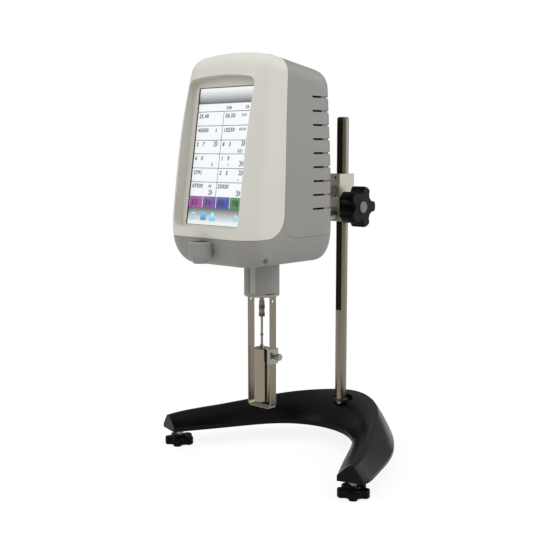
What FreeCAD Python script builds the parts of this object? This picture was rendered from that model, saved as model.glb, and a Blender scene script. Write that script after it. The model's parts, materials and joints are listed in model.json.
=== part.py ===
"""Touch-screen rotational rheometer on a rack-and-pinion stand.

Millimetres, +Z up, +Y towards the column at the back. Pieces are drawn about the spindle's
axis with the bench top at z = 0, then moved back by centre_y, so that the origin lies under
the middle of the whole instrument.
"""
import FreeCAD, Part
import Sketcher
import math
import os

from FreeCAD import Placement, Rotation, Vector

SIZES = {
    # horseshoe base, each rib station measured outwards from the inner edge
    "floor_gap": 20, "elbow_r": 86.5, "elbow_y": 37.5, "arm_angle": 29.6, "casting_wall": 7,
    "apex_width": 88, "apex_crest": 57, "apex_height": 40, "shoulder_bearing": 75,
    "shoulder_width": 74, "shoulder_crest": 49, "shoulder_height": 38.5, "elbow_bearing": 58,
    "elbow_width": 58, "elbow_crest": 36, "elbow_height": 36, "root_width": 51, "root_crest": 25.5,
    "root_height": 30.5, "mid_distance": 52, "mid_width": 48, "mid_crest": 24.5,
    "mid_height": 25.5, "tip_distance": 98, "tip_width": 40, "tip_crest": 22.5, "tip_height": 22,
    "end_distance": 119, "end_width": 31, "end_crest": 17, "end_height": 19.5, "end_bearing": 16,
    "crest_round": 4.5, "inner_lip": 6, "outer_lip": 4, "inner_bulge": 70, "outer_bulge": 170,
    "seat_r": 16,
    # column and rack
    "column_y": 152.2, "column_r": 7.5, "column_top": 422.7, "seat_z": 52.3, "column_tail": 25,
    "tail_r": 6, "dome": 2, "slot_width": 9, "slot_depth": 5.4, "slot_bottom": 174,
    "rack_module": 0.8, "rack_side_gap": 0.1, "rack_recess": 0.2, "flank_angle": 20,
    "addendum": 0.8, "dedendum": 1.05, "backlash": 0.16, "gaps_below": 53, "gap_count": 96,
    "ring_r": 9.6, "ring_height": 2.4, "nut_wall": 5, "nut_height": 7,
    # levelling feet
    "foot_x": 143.3, "foot_y": -4.8, "rear_foot_y": 190, "stud_r": 4, "stud_top": 31,
    "stud_travel": 4, "fit_gap": 0.05, "foot_boss_r": 10, "foot_height": 10, "foot_star_r": 19.3,
    "foot_valley_r": 13, "foot_hub_r": 7, "foot_hub_height": 1.5, "lock_nut_r": 6.5,
    "lock_nut_height": 4.5,
    # lifting block with pinion and star knob
    "block_half": 11, "block_bottom": 291, "block_height": 60, "block_front": 20.4,
    "block_back": 11.2, "block_round": 2, "arm_z": 300, "arm_r": 8.8, "arm_inner_y": 53,
    "pinion_z": 310, "pinion_teeth": 15, "gear_half": 4.2, "gear_side_gap": 0.3, "cavity_gap": 0.3,
    "shaft_r": 3.2, "left_socket": 4.6, "bush_gap": 0.2, "bush_length": 4.4, "flange_r": 8.6,
    "flange_height": 1.4, "shaft_reach": 34, "knob_back": 22, "knob_depth": 21, "knob_r": 27,
    "knob_valley_r": 18.2, "hub_r": 10.5, "hub_gap": 0.4, "cap_r": 7.4, "cap_rise": 0.7,
    "cap_depth": 3, "knob_bevel": 1.6, "tension_z": 328.5, "tension_r": 6.4, "tension_head_r": 7.2,
    "tension_head": 3, "pad_r": 6.3, "pad_length": 3.5, "screw_slot": 1.4, "head_gap": 0.2,
    "hole_x": 5, "hole_z": 346.3, "hole_r": 1.6, "hole_depth": 6,
    # head casing
    "head_bottom": 252.5, "tub_z": 268, "belly_z": 288, "head_top": 488, "rear_top": 471.5,
    "loft_over": 8, "lean": 8.9, "front_y": 83, "front_bend": 1100, "screen_y": 68.7,
    "screen_z": 374, "crown_half": 66.5, "crown_z": 345, "side_bend": 2070, "roof_bend": 300,
    "rear_low_y": 66, "rear_lean": 1.76, "floor_half": 53, "floor_front": 77, "floor_rear": 58,
    "tub_half": 63, "tub_front": 89, "tub_rear": 64.5, "front_corner": 24, "rear_corner": 29,
    "top_round": 22, "floor_round": 16, "wall": 2.6, "seam": 0.3, "parting_y": 33.2,
    "parting_bend": 1450, "cover_bottom": 284.5, "cover_corner": 27, "rear_bottom": 283.5,
    "rear_curve": 17, "slot_count": 9, "vent_first": 440.3, "vent_pitch": 15.75,
    "vent_height": 2.2, "vent_start": 15, "vent_depth": 1.8,
    # screen recess, window, glass and display
    "recess_half": 51, "recess_low": 81, "recess_high": 84, "recess_arch": 310, "recess_round": 9,
    "rim": 3, "window_half": 43.4, "window_high": 77.6, "window_round": 2, "glass_step": 0.6,
    "glass_half": 46, "glass_high": 80.4, "glass_thick": 2.4, "display_half": 48,
    "display_high": 81.5, "display_thick": 6.5, "clip_frame": 2, "board_gap": 5, "board_half": 40,
    "board_high": 60, "board_thick": 1.6, "post_r": 2.5,
    # neck, bubble level, guard and its clip
    "neck_r": 21, "neck_wall": 1.5, "neck_bottom": 210, "neck_bevel": 0.9, "boss_y": 99,
    "boss_neck": 7.5, "boss_r": 13.5, "boss_bottom": 257, "boss_top": 281, "boss_bevel": 2,
    "vial_r": 9, "vial_depth": 8, "level_wall": 1.2, "strap_x": 18.2, "strap_thick": 1.2,
    "strap_half": 5.2, "guard_bottom": 75, "guard_round": 5, "guard_ring_wall": 1.6,
    "guard_ring_low": 214, "guard_ring_height": 12, "strap_hole_z": 204.5, "strap_hole_r": 1.6,
    "clip_z": 139, "clip_height": 18, "clip_wall": 1.6, "clip_gap": 0.3, "clip_boss_r": 3,
    "clip_boss": 4, "thumb_r": 3.8, "thumb_length": 5, "thumb_shank_r": 1.5, "arch_x": 55,
    "arch_y": 58.5, "arch_width": 11, "arch_height": 11, "arch_rim": 2,
    # spindle and coupling
    "rotor_r": 9.42, "rotor_bottom": 82, "rotor_length": 65.1, "rotor_edge": 0.8, "stem_r": 1.5,
    "stem_top": 186.5, "bead_z": 163, "bead_r": 2.2, "bead_half": 2, "flare_r": 2.7,
    "flare_height": 5, "nut_low": 184.5, "nut_top": 210, "ridge_r": 3.4, "ridge_height": 5.5,
    "waist_r": 2.7, "waist_height": 4,
    # torque train inside the head
    "plate_z": 258, "plate_thick": 4, "plate_half": 41, "plate_front": 52, "plate_back": 49.8,
    "pivot_r": 1.5, "pivot_top": 290, "jewel_r": 6, "jewel_height": 7, "disc_r": 26,
    "disc_thick": 1, "lower_disc_z": 274, "upper_disc_z": 284, "disc_notch": 3, "notch_count": 24,
    "collet_r": 4, "spring_z": 278.2, "spring_height": 2, "spring_wire": 0.6, "spring_r": 6,
    "spring_growth": 3, "spring_turns": 3, "stud_width": 2, "hub_low": 281, "hub_out_r": 7,
    "pillar_r": 4, "pillar_circle": 33, "motor_plate_z": 302, "motor_plate_r": 39,
    "motor_half": 21, "motor_height": 34, "motor_corner": 4, "motor_shaft_r": 2.5,
    "sensor_width": 12, "sensor_reach": 21.5, "sensor_back": 27.5, "sensor_out": 34,
    "sensor_clear": 1.6,
    # chassis and rear connections
    "chassis_y": 46.2, "chassis_thick": 3.6, "chassis_half": 34, "chassis_top": 340,
    "socket_r": 13, "socket_flange_r": 19, "socket_out_y": 72, "socket_gap": 0.4, "panel_z": 271.5,
    "panel_half": 40, "panel_high": 11, "panel_rise": 0.6, "switch_x": 28, "switch_half": 6.5,
    "switch_height": 9.6, "switch_depth": 12, "lip": 1, "rocker_half": 4.6, "rocker_height": 6.6,
    "rocker_rise": 2, "rocker_gap": 0.3, "rocker_swing": 1.3, "rocker_pin_r": 0.9, "bezel": 1.6,
    "inlet_x": -28, "inlet_r": 5.6, "inlet_hole_r": 3.4, "inlet_depth": 11, "probe_x": -8,
    "probe_r": 6.4, "probe_hole_r": 4, "rear_screw_x": 26, "rear_screw_low": 306,
    "rear_screw_high": 448, "rear_screw_r": 3, "rear_screw_deep": 1.4,
}


class Size:
    """A length or angle that keeps its number together with its formula in sheet cells."""

    def __init__(self, number, text):
        self.number = number
        self.text = text

    def __add__(self, other):
        other = size(other)
        return Size(self.number + other.number, f"({self.text} + {other.text})")

    def __sub__(self, other):
        other = size(other)
        return Size(self.number - other.number, f"({self.text} - {other.text})")

    def __mul__(self, other):
        other = size(other)
        return Size(self.number * other.number, f"{self.text} * {other.text}")

    def __truediv__(self, other):
        other = size(other)
        return Size(self.number / other.number, f"{self.text} / ({other.text})")

    def __neg__(self):
        return Size(-self.number, f"(0 - {self.text})")

    def __radd__(self, other):
        return size(other) + self

    def __rsub__(self, other):
        return size(other) - self

    def __rmul__(self, other):
        return size(other) * self


def size(value):
    """Anything as a Size; a plain number is written into formulas as it stands."""
    if isinstance(value, Size):
        return value
    return Size(float(value), f"({value!r})" if value < 0 else repr(value))


def sine(angle):
    angle = size(angle)
    return Size(math.sin(math.radians(angle.number)), f"sin({angle.text})")


def cosine(angle):
    angle = size(angle)
    return Size(math.cos(math.radians(angle.number)), f"cos({angle.text})")


def tangent(angle):
    return sine(angle) / cosine(angle)


def root(value):
    return Size(math.sqrt(value.number), f"sqrt({value.text})")


def arctangent(value):
    return Size(math.degrees(math.atan(value.number)), f"atan({value.text})")


class Sheet:
    """The driving dimensions, one spreadsheet cell each, read by name."""

    def __init__(self, doc):
        self.cells = doc.addObject("Spreadsheet::Sheet", "sizes")
        for row, (name, value) in enumerate(SIZES.items(), start=1):
            self.cells.set(f"A{row}", name)
            self.cells.set(f"B{row}", str(value))
            self.cells.setAlias(f"B{row}", name)
        doc.recompute()

    def __getattr__(self, name):
        return Size(float(SIZES[name]), f"sizes.{name}")


doc = FreeCAD.newDocument("rheometer")
S = Sheet(doc)

FLOOR_Z = S.floor_gap
BASE_REAR_Y = S.elbow_y + S.elbow_r + S.apex_width
CENTRE_Y = (BASE_REAR_Y - S.boss_y - S.boss_r) / 2
PITCH = S.rack_module * math.pi
PITCH_R = S.rack_module * S.pinion_teeth / 2
PANEL_Y = S.rear_low_y + S.panel_rise
RACK_HALF = S.slot_width / 2 - S.rack_side_gap
TOOTH_TIP_Y = S.column_y - root(S.column_r * S.column_r - RACK_HALF * RACK_HALF) + S.rack_recess
PINION_Y = TOOTH_TIP_Y + S.rack_module * S.addendum - PITCH_R
CAVITY_R = PITCH_R + S.rack_module * S.addendum + S.cavity_gap
CAVITY_END = S.gear_half + S.gear_side_gap
BLOCK_FRONT_Y = S.column_y - S.block_front
SLOT_EDGE_Y = S.column_y - root(S.column_r * S.column_r - S.slot_width * S.slot_width / 4)
PAD_FRONT_Y = SLOT_EDGE_Y - S.fit_gap - S.pad_length
PLATE_TOP = S.plate_z + S.plate_thick
RIDGE_GAP = S.ridge_height + S.waist_height
LOFT_STEPS = 4
ARC_SLACK = 1.001
pieces = {}
places = {}


# Small building blocks

def bind(thing, name, value):
    thing.setExpression(name, size(value).text)


def set_base(thing, name, x, y, z):
    for axis, value in zip("xyz", (x, y, z)):
        bind(thing, f"{name}.{axis}", value)


def new_body(name):
    return doc.addObject("PartDesign::Body", name)


def attach(sketch, body, plane, base=None, bearing=None, about=Vector(0, 1, 0)):
    """Lay a sketch on one of its body's origin planes, moved by base and turned by bearing."""
    support = [f for f in body.Origin.OriginFeatures if f.Role == plane][0]
    sketch.AttachmentSupport = [(support, "")]
    sketch.MapMode = "FlatFace"
    if bearing is not None:
        turn = Rotation(about, size(bearing).number)
        sketch.AttachmentOffset = Placement(Vector(), turn)
        bind(sketch, "AttachmentOffset.Rotation.Angle", bearing)
    if base is not None:
        set_base(sketch, "AttachmentOffset.Base", *base)


def edge_between(start, end, radius):
    """Line, or short arc of a signed radius: positive bulges to the right of its course."""
    if radius is None:
        return Part.LineSegment(start, end)
    chord = end - start
    reach = abs(radius.number)
    rise = reach - math.sqrt(reach ** 2 - (chord.Length / 2) ** 2)
    side = Vector(chord.y, -chord.x, 0).normalize()
    middle = (start + end) * 0.5 + side * math.copysign(rise, radius.number)
    return Part.Arc(start, middle, end)


def outline(body, plane, points, base=None, bearing=None, about=Vector(0, 1, 0)):
    """Closed sketch through (u, v) points; (u, v, r) bends the edge that leaves the point."""
    sketch = body.newObject("Sketcher::SketchObject", "Outline")
    attach(sketch, body, plane, base, bearing, about)
    corners = [(size(p[0]), size(p[1]), size(p[2]) if len(p) > 2 else None) for p in points]
    ends = []
    for index, (u, v, radius) in enumerate(corners):
        after = corners[(index + 1) % len(corners)]
        start = Vector(u.number, v.number, 0)
        edge = edge_between(start, Vector(after[0].number, after[1].number, 0), radius)
        number = sketch.addGeometry(edge, False)
        forwards = (sketch.getPoint(number, 1) - start).Length < 1e-6
        ends.append((number, 1, 2) if forwards else (number, 2, 1))
    for index, (number, first, last) in enumerate(ends):
        following = ends[(index + 1) % len(ends)]
        sketch.addConstraint(add("Coincident", number, last, following[0], following[1]))
        u, v, radius = corners[index]
        pin(sketch, add("DistanceX", -1, 1, number, first, u.number), u)
        pin(sketch, add("DistanceY", -1, 1, number, first, v.number), v)
        if radius is not None:
            reach = radius if radius.number > 0 else -radius
            pin(sketch, add("Radius", number, reach.number), reach)
    return sketch


def add(*words):
    return Sketcher.Constraint(*words)


def pin(sketch, constraint, value):
    """Add a constraint and bind its size to a formula."""
    number = sketch.addConstraint(constraint)
    bind(sketch, f"Constraints[{number}]", value)


def circles(body, plane, spots, base=None):
    """Sketch of full circles, each spot being (u, v, r)."""
    sketch = body.newObject("Sketcher::SketchObject", "Circles")
    attach(sketch, body, plane, base)
    for spot in spots:
        u, v, r = (size(value) for value in spot)
        ring = Part.Circle(Vector(u.number, v.number, 0), Vector(0, 0, 1), r.number)
        number = sketch.addGeometry(ring, False)
        pin(sketch, add("DistanceX", -1, 1, number, 3, u.number), u)
        pin(sketch, add("DistanceY", -1, 1, number, 3, v.number), v)
        pin(sketch, add("Radius", number, r.number), r)
    return sketch


def rectangle(u0, u1, v0, v1):
    return [(u0, v0), (u1, v0), (u1, v1), (u0, v1)]


def rounded(u0, u1, v0, v1, r):
    """Rectangle with rounded corners, drawn anticlockwise."""
    return [(u0 + r, v0), (u1 - r, v0, r), (u1, v0 + r), (u1, v1 - r, r),
            (u1 - r, v1), (u0 + r, v1, r), (u0, v1 - r), (u0, v0 + r, r)]


def ngon(radius, count):
    """Regular polygon of a given corner radius."""
    return [(radius * cosine(360 * k / count), radius * sine(360 * k / count))
            for k in range(count)]


def star(radius, valley, lobes=5, lobe_share=0.42, lift=90):
    """Star knob outline: round lobes joined by hollow arcs."""
    points = []
    step = 360 / lobes
    reach = radius * 0.93
    between = step * (1 - lobe_share) / 2
    half_chord = reach * sine(between)
    dip = reach * cosine(between) - valley
    hollow = (half_chord * half_chord + dip * dip) / (dip * 2)
    for k in range(lobes):
        for side, bend in ((-1, radius * 0.42), (1, -hollow)):
            bearing = lift + k * step + side * step * lobe_share / 2
            points.append((reach * cosine(bearing), reach * sine(bearing), bend))
    return points


def pad(body, sketch, length, both=False, back=False):
    feature = body.newObject("PartDesign::Pad", "Pad")
    feature.Profile = sketch
    feature.SideType = "Symmetric" if both else "One side"
    feature.Reversed = back
    bind(feature, "Length", length)
    return feature


def pocket(body, sketch, length=None, both=False, back=False):
    """Cut a sketch away, right through where no length is given."""
    feature = body.newObject("PartDesign::Pocket", "Pocket")
    feature.Profile = sketch
    feature.SideType = "Symmetric" if both else "One side"
    feature.Reversed = back
    if length is None:
        feature.Type = "ThroughAll"
    else:
        bind(feature, "Length", length)
    return feature


def turned(name, profile):
    """Body of revolution about its own Z axis from (radius, height) points."""
    body = new_body(name)
    sketch = outline(body, "XZ_Plane", profile)
    feature = body.newObject("PartDesign::Revolution", "Revolution")
    feature.Profile = sketch
    feature.ReferenceAxis = (sketch, ["V_Axis"])
    feature.Angle = 360
    return body


def tube(name, outer, inner, low, high):
    return turned(name, [(inner, low), (outer, low), (outer, high), (inner, high)])


def loft(body, sketches, cut=False, ruled=False):
    kind = "PartDesign::SubtractiveLoft" if cut else "PartDesign::AdditiveLoft"
    feature = body.newObject(kind, "Loft")
    feature.Profile = sketches[0]
    feature.Sections = sketches[1:]
    feature.Ruled = ruled
    return feature


def round_edges(body, radius, wanted):
    """Fillet the edges of the body's tip for which wanted(edge) is true."""
    doc.recompute()
    tip = body.Tip
    names = [f"Edge{n}" for n, edge in enumerate(tip.Shape.Edges, start=1) if wanted(edge)]
    feature = body.newObject("PartDesign::Fillet", "Fillet")
    feature.Base = (tip, names)
    bind(feature, "Radius", radius)
    return feature


def bevelled(body, shape, low, high, bevel):
    """Prism from low to high whose outline, shape(shrink), is drawn in at both ends."""
    levels = [(low, bevel), (low + bevel, size(0)), (high - bevel, size(0)), (high, bevel)]
    loft(body, [outline(body, "XY_Plane", shape(shrink), (0, 0, z)) for z, shrink in levels],
         ruled=True)


def flat_at(level, axis="z", slack=0.01):
    """Test for edges that lie wholly in one plane across an axis."""
    def wanted(edge):
        low, high = (getattr(edge.BoundBox, axis.upper() + end) for end in ("Min", "Max"))
        return abs(low - level.number) < slack and abs(high - level.number) < slack
    return wanted


def box(x0, x1, y0, y1, z0, z1):
    thing = doc.addObject("Part::Box", "Box")
    for name, low, high in (("Length", x0, x1), ("Width", y0, y1), ("Height", z0, z1)):
        bind(thing, name, size(high) - size(low))
    set_base(thing, "Placement.Base", x0, y0, z0)
    places[thing.Name] = (x0, y0, z0)
    return thing


def rod(radius, length, x, y, z, axis="z"):
    """Cylinder that starts at a point and runs along one axis."""
    thing = doc.addObject("Part::Cylinder", "Rod")
    bind(thing, "Radius", radius)
    bind(thing, "Height", length)
    if axis == "x":
        thing.Placement = Placement(Vector(), Rotation(Vector(0, 1, 0), 90))
    if axis == "y":
        thing.Placement = Placement(Vector(), Rotation(Vector(1, 0, 0), -90))
    set_base(thing, "Placement.Base", x, y, z)
    places[thing.Name] = (x, y, z)
    return thing


def fused(*things):
    whole = doc.addObject("Part::MultiFuse", "Fuse")
    whole.Shapes = list(things)
    return whole


def cut(thing, *tools):
    result = doc.addObject("Part::Cut", "Cut")
    result.Base = thing
    result.Tool = tools[0] if len(tools) == 1 else fused(*tools)
    return result


def common(thing, other):
    result = doc.addObject("Part::Common", "Common")
    result.Base = thing
    result.Tool = other
    return result


def group(*things):
    """Separate solids that share one node."""
    whole = doc.addObject("Part::Compound", "Group")
    whole.Links = list(things)
    return whole


def at(thing, x=0, y=0, z=0, turn=None):
    """Place an object in the spindle's frame; turn is (axis, angle)."""
    if turn is not None:
        axis, angle = turn
        thing.Placement = Placement(Vector(), Rotation(axis, size(angle).number))
        bind(thing, "Placement.Rotation.Angle", angle)
    set_base(thing, "Placement.Base", x, y, z)
    places[thing.Name] = (x, y, z)
    return thing


def piece(thing, label):
    """Name a finished sub-part and move it to the instrument's own frame."""
    x, y, z = places.get(thing.Name, (0, 0, 0))
    thing.Label = label
    set_base(thing, "Placement.Base", x, size(y) - CENTRE_Y, z)
    pieces[label] = thing


def on_screen(thing, forward=0):
    """Lay an object drawn flat in XY onto the leaning screen plane, forward of it."""
    y = -S.screen_y - cosine(S.lean) * forward
    z = S.screen_z + sine(S.lean) * forward
    return at(thing, 0, y, z, (Vector(1, 0, 0), 90 - S.lean))


# Stand

def rib_section(width, crest, height):
    """Cross-section of the base: steep bulging inner wall, crest and sloping outer wall."""
    return [
        (0, 0),
        (width, 0),
        (width, S.outer_lip, S.outer_bulge),
        (crest + S.crest_round * 0.75, height - S.crest_round * 0.25, S.crest_round * 1.6),
        (crest - S.crest_round * 0.75, height - S.crest_round * 0.2, S.inner_bulge),
        (0, S.inner_lip),
    ]


def hollow_section(width, crest, height):
    """Straight-sided cross-section of the hollow under the base, a wall inside its form."""
    wall = S.casting_wall
    roof = height - wall * 1.3
    return [
        (wall, -1),
        (width - wall * 1.2, -1),
        (crest + S.crest_round * 0.5, roof),
        (crest - S.crest_round, roof),
        (wall, wall * 0.6),
    ]


def rib_stations():
    """Inner edge point, bearing, width, crest and height of each rib section, apex first."""
    edge_x = S.elbow_r * cosine(S.arm_angle)
    edge_y = S.elbow_y + S.elbow_r * sine(S.arm_angle)
    stations = []
    for name, bearing in (("apex", 90), ("shoulder", S.shoulder_bearing),
                          ("elbow", S.elbow_bearing), ("root", S.arm_angle)):
        x = S.elbow_r * cosine(bearing)
        y = S.elbow_y + S.elbow_r * sine(bearing)
        stations.append((name, x, y, size(bearing)))
    for name, bearing in (("mid", S.arm_angle), ("tip", S.arm_angle), ("end", S.end_bearing)):
        distance = getattr(S, name + "_distance")
        x = edge_x + distance * sine(S.arm_angle)
        y = edge_y - distance * cosine(S.arm_angle)
        stations.append((name, x, y, size(bearing)))
    return stations


def rib_sketches(body, section, names):
    """Section sketches along the whole horseshoe, from one arm's end to the other's."""
    stations = [s for s in rib_stations() if s[0] in names]
    walk = [(s, 1) for s in reversed(stations)] + [(s, -1) for s in stations[1:]]
    sketches = []
    for (name, x, y, bearing), side in walk:
        points = section(getattr(S, name + "_width"), getattr(S, name + "_crest"),
                         getattr(S, name + "_height"))
        base = (x * side, FLOOR_Z, -y)
        turn = bearing if side > 0 else 180 - bearing
        sketches.append(outline(body, "XZ_Plane", points, base, turn))
    return sketches


def foot_spots():
    return {"left": (-S.foot_x, S.foot_y), "right": (S.foot_x, S.foot_y),
            "rear": (size(0), S.rear_foot_y)}


def make_base():
    """Hollow horseshoe whose bosses stand in the hollow under its roof."""
    every = ("apex", "shoulder", "elbow", "root", "mid", "tip", "end")
    form = new_body("BaseForm")
    loft(form, rib_sketches(form, rib_section, every))
    hollow = new_body("BaseHollow")
    loft(hollow, rib_sketches(hollow, hollow_section, every[:-1]), ruled=True)
    tall = S.apex_height * 2
    spots = list(foot_spots().values())
    bosses = [rod(S.foot_boss_r, tall, x, y, FLOOR_Z) for x, y in spots]
    bosses.append(rod(S.seat_r, tall, 0, S.column_y, FLOOR_Z + S.nut_height))
    holes = [rod(S.stud_r + S.fit_gap, S.stud_top + S.stud_travel + 0.5 - FLOOR_Z + 5, x, y,
                 FLOOR_Z - 5) for x, y in spots]
    seat = rod(S.seat_r, tall, 0, S.column_y, S.seat_z)
    shank = rod(S.tail_r, tall, 0, S.column_y, FLOOR_Z - 5)
    nut_well = rod(S.seat_r, S.nut_height + 5, 0, S.column_y, FLOOR_Z - 5)
    piece(cut(form, cut(hollow, *bosses), seat, shank, nut_well, *holes), "base_casting")


def make_column():
    column = turned("Column", [
        (0, S.column_tail), (S.tail_r, S.column_tail), (S.tail_r, S.seat_z),
        (S.column_r, S.seat_z), (S.column_r, S.column_top - S.dome),
        (S.column_r - S.dome, S.column_top), (0, S.column_top)])
    slot = rectangle(-S.slot_width / 2, S.slot_width / 2, -S.column_r * 1.2,
                     S.slot_depth - S.column_r)
    pocket(column, outline(column, "XY_Plane", slot, (0, 0, S.slot_bottom)), back=True)
    piece(at(column, 0, S.column_y), "column")
    ring = tube("Ring", S.ring_r, S.column_r, S.seat_z, S.seat_z + S.ring_height)
    piece(at(ring, 0, S.column_y), "column_ring")
    nut = new_body("ColumnNut")
    pad(nut, outline(nut, "XY_Plane", ngon(S.tail_r + S.nut_wall, 6)), S.nut_height)
    pocket(nut, circles(nut, "XY_Plane", [(0, 0, S.tail_r)]), back=True)
    piece(at(nut, 0, S.column_y, FLOOR_Z), "column_nut")


def make_rack():
    """Toothed strip in the column's slot: one gap between straight flanks, repeated."""
    body = new_body("Rack")
    low = S.slot_bottom
    blank = rectangle(-RACK_HALF, RACK_HALF, TOOTH_TIP_Y, S.column_y - S.column_r + S.slot_depth)
    pad(body, outline(body, "XY_Plane", blank, (0, 0, low)), S.column_top - S.dome - low)
    deep = TOOTH_TIP_Y + S.rack_module * (S.addendum + S.dedendum)
    first = S.pinion_z - PITCH * S.gaps_below
    open_half = PITCH / 4 + S.backlash / 4 + S.rack_module * S.addendum * tangent(S.flank_angle)
    root_half = open_half - S.rack_module * (S.addendum + S.dedendum) * tangent(S.flank_angle)
    gap = [(TOOTH_TIP_Y - 1, first - open_half), (TOOTH_TIP_Y, first - open_half),
           (deep, first - root_half), (deep, first + root_half),
           (TOOTH_TIP_Y, first + open_half), (TOOTH_TIP_Y - 1, first + open_half)]
    gap_cut = pocket(body, outline(body, "YZ_Plane", gap), S.slot_width, both=True)
    row = body.newObject("PartDesign::LinearPattern", "Row")
    row.Originals = [gap_cut]
    row.Direction = (origin_axis(body, "Z_Axis"), [""])
    row.Mode = "Spacing"
    bind(row, "Offset", PITCH)
    bind(row, "Occurrences", S.gap_count)
    body.Tip = row
    piece(body, "rack_strip")


def origin_axis(body, role):
    return [f for f in body.Origin.OriginFeatures if f.Role == role][0]


def make_feet():
    for side, (x, y) in foot_spots().items():
        stud = rod(S.stud_r, S.stud_top - S.foot_height / 2, x, y, S.foot_height / 2)
        piece(stud, f"foot_{side}_stud")
        knob = new_body("FootKnob")
        shape = star(S.foot_star_r, S.foot_valley_r)
        pad(knob, outline(knob, "XY_Plane", shape), S.foot_height)
        hub = circles(knob, "XY_Plane", [(0, 0, S.foot_hub_r)], (0, 0, S.foot_height))
        pad(knob, hub, S.foot_hub_height)
        bore = circles(knob, "XY_Plane", [(0, 0, S.stud_r + S.fit_gap)],
                       (0, 0, S.foot_height / 2 - S.fit_gap))
        pocket(knob, bore, back=True)
        piece(at(knob, x, y), f"foot_{side}_knob")
    nuts = []
    for x, y in foot_spots().values():
        nut = new_body("LockNut")
        pad(nut, outline(nut, "XY_Plane", ngon(S.lock_nut_r, 6)), S.lock_nut_height)
        pocket(nut, circles(nut, "XY_Plane", [(0, 0, S.stud_r + S.fit_gap)]), back=True)
        nuts.append(at(nut, x, y, FLOOR_Z - S.lock_nut_height))
    piece(group(*nuts), "foot_nuts")


# Lifting block, pinion and knob

def make_block():
    body = new_body("LiftingBlock")
    front = BLOCK_FRONT_Y
    rear = S.column_y + S.block_back
    plan = rounded(-S.block_half, S.block_half, front, rear, S.block_round)
    pad(body, outline(body, "XY_Plane", plan, (0, 0, S.block_bottom)), S.block_height)
    arm = circles(body, "XZ_Plane", [(0, S.arm_z, S.arm_r)], (0, 0, -front - S.block_round))
    pad(body, arm, front + S.block_round - S.arm_inner_y)
    bore = circles(body, "XY_Plane", [(0, S.column_y, S.column_r + S.fit_gap)],
                   (0, 0, S.block_bottom))
    pocket(body, bore, back=True)
    cavity = circles(body, "YZ_Plane", [(PINION_Y, S.pinion_z, CAVITY_R)],
                     (0, 0, -CAVITY_END))
    pocket(body, cavity, back=True)
    socket = circles(body, "YZ_Plane", [(PINION_Y, S.pinion_z, S.shaft_r + S.fit_gap)],
                     (0, 0, -CAVITY_END))
    pocket(body, socket, S.left_socket)
    tapped = circles(body, "XZ_Plane", [(0, S.tension_z, S.tension_r)], (0, 0, -front))
    pocket(body, tapped, PAD_FRONT_Y - front)
    pad_bore = circles(body, "XZ_Plane", [(0, S.tension_z, S.pad_r)], (0, 0, -front))
    pocket(body, pad_bore, S.block_front - S.column_r / 2)
    spot = circles(body, "XZ_Plane", [(S.hole_x, S.hole_z, S.hole_r)], (0, 0, -front))
    pocket(body, spot, S.hole_depth)
    piece(body, "lifting_block")


def make_tension_screw():
    """Slotted screw that presses a nylon pad on the column."""
    end = S.tension_head + PAD_FRONT_Y - BLOCK_FRONT_Y - S.head_gap
    shank = turned("TensionScrew", [
        (0, 0), (S.tension_head_r, 0), (S.tension_head_r, S.tension_head),
        (S.tension_r - S.fit_gap, S.tension_head), (S.tension_r - S.fit_gap, end), (0, end)])
    slot = rectangle(-S.tension_head_r, S.tension_head_r, -S.screw_slot / 2, S.screw_slot / 2)
    pocket(shank, outline(shank, "XY_Plane", slot), S.screw_slot, back=True)
    piece(at(shank, 0, BLOCK_FRONT_Y - S.tension_head - S.head_gap, S.tension_z,
             (Vector(1, 0, 0), -size(90))), "tension_screw")
    pad_rod = rod(S.pad_r, S.pad_length, 0, PAD_FRONT_Y, S.tension_z, "y")
    piece(pad_rod, "tension_pad")


def tooth_outline(root_r):
    """One pinion tooth pointing up, its flanks involutes of the pitch circle's base circle."""
    points = []
    pressure = math.radians(SIZES["flank_angle"])
    pitch_r = PITCH_R.number
    base_r = pitch_r * math.cos(pressure)
    outer_r = pitch_r + SIZES["rack_module"] * SIZES["addendum"]
    half = math.pi / 2 * SIZES["rack_module"] / 2 - SIZES["backlash"] / 4
    spread = half / pitch_r + math.tan(pressure) - pressure
    for step in range(4):
        radius = base_r + (outer_r - base_r) * step / 3
        slope = math.acos(base_r / radius)
        angle = spread - (math.tan(slope) - slope)
        points.append((radius * math.sin(angle), radius * math.cos(angle)))
    points.insert(0, (points[0][0], root_r * 0.9))
    scale = PITCH_R / pitch_r
    right = [(scale * u, scale * v) for u, v in points]
    left = [(-scale * u, scale * v) for u, v in reversed(points)]
    return right + left


def make_pinion():
    body = new_body("PinionShaft")
    root_r = PITCH_R - S.rack_module * S.dedendum
    start = -S.gear_half - S.left_socket
    pad(body, circles(body, "XY_Plane", [(0, 0, S.shaft_r)], (0, 0, start)),
        S.shaft_reach - start)
    pad(body, circles(body, "XY_Plane", [(0, 0, root_r)]), S.gear_half * 2, both=True)
    tooth = pad(body, outline(body, "XY_Plane", tooth_outline(root_r.number)),
                S.gear_half * 2, both=True)
    ring = body.newObject("PartDesign::PolarPattern", "Ring")
    ring.Originals = [tooth]
    ring.Axis = (origin_axis(body, "Z_Axis"), [""])
    ring.Angle = 360
    bind(ring, "Occurrences", S.pinion_teeth)
    body.Tip = ring
    spin = Rotation(Vector(0, 0, 1), Vector(0, 1, 0), Vector(1, 0, 0), "ZYX")
    body.Placement = Placement(Vector(), spin)
    piece(at(body, 0, PINION_Y, S.pinion_z), "pinion_shaft")


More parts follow.
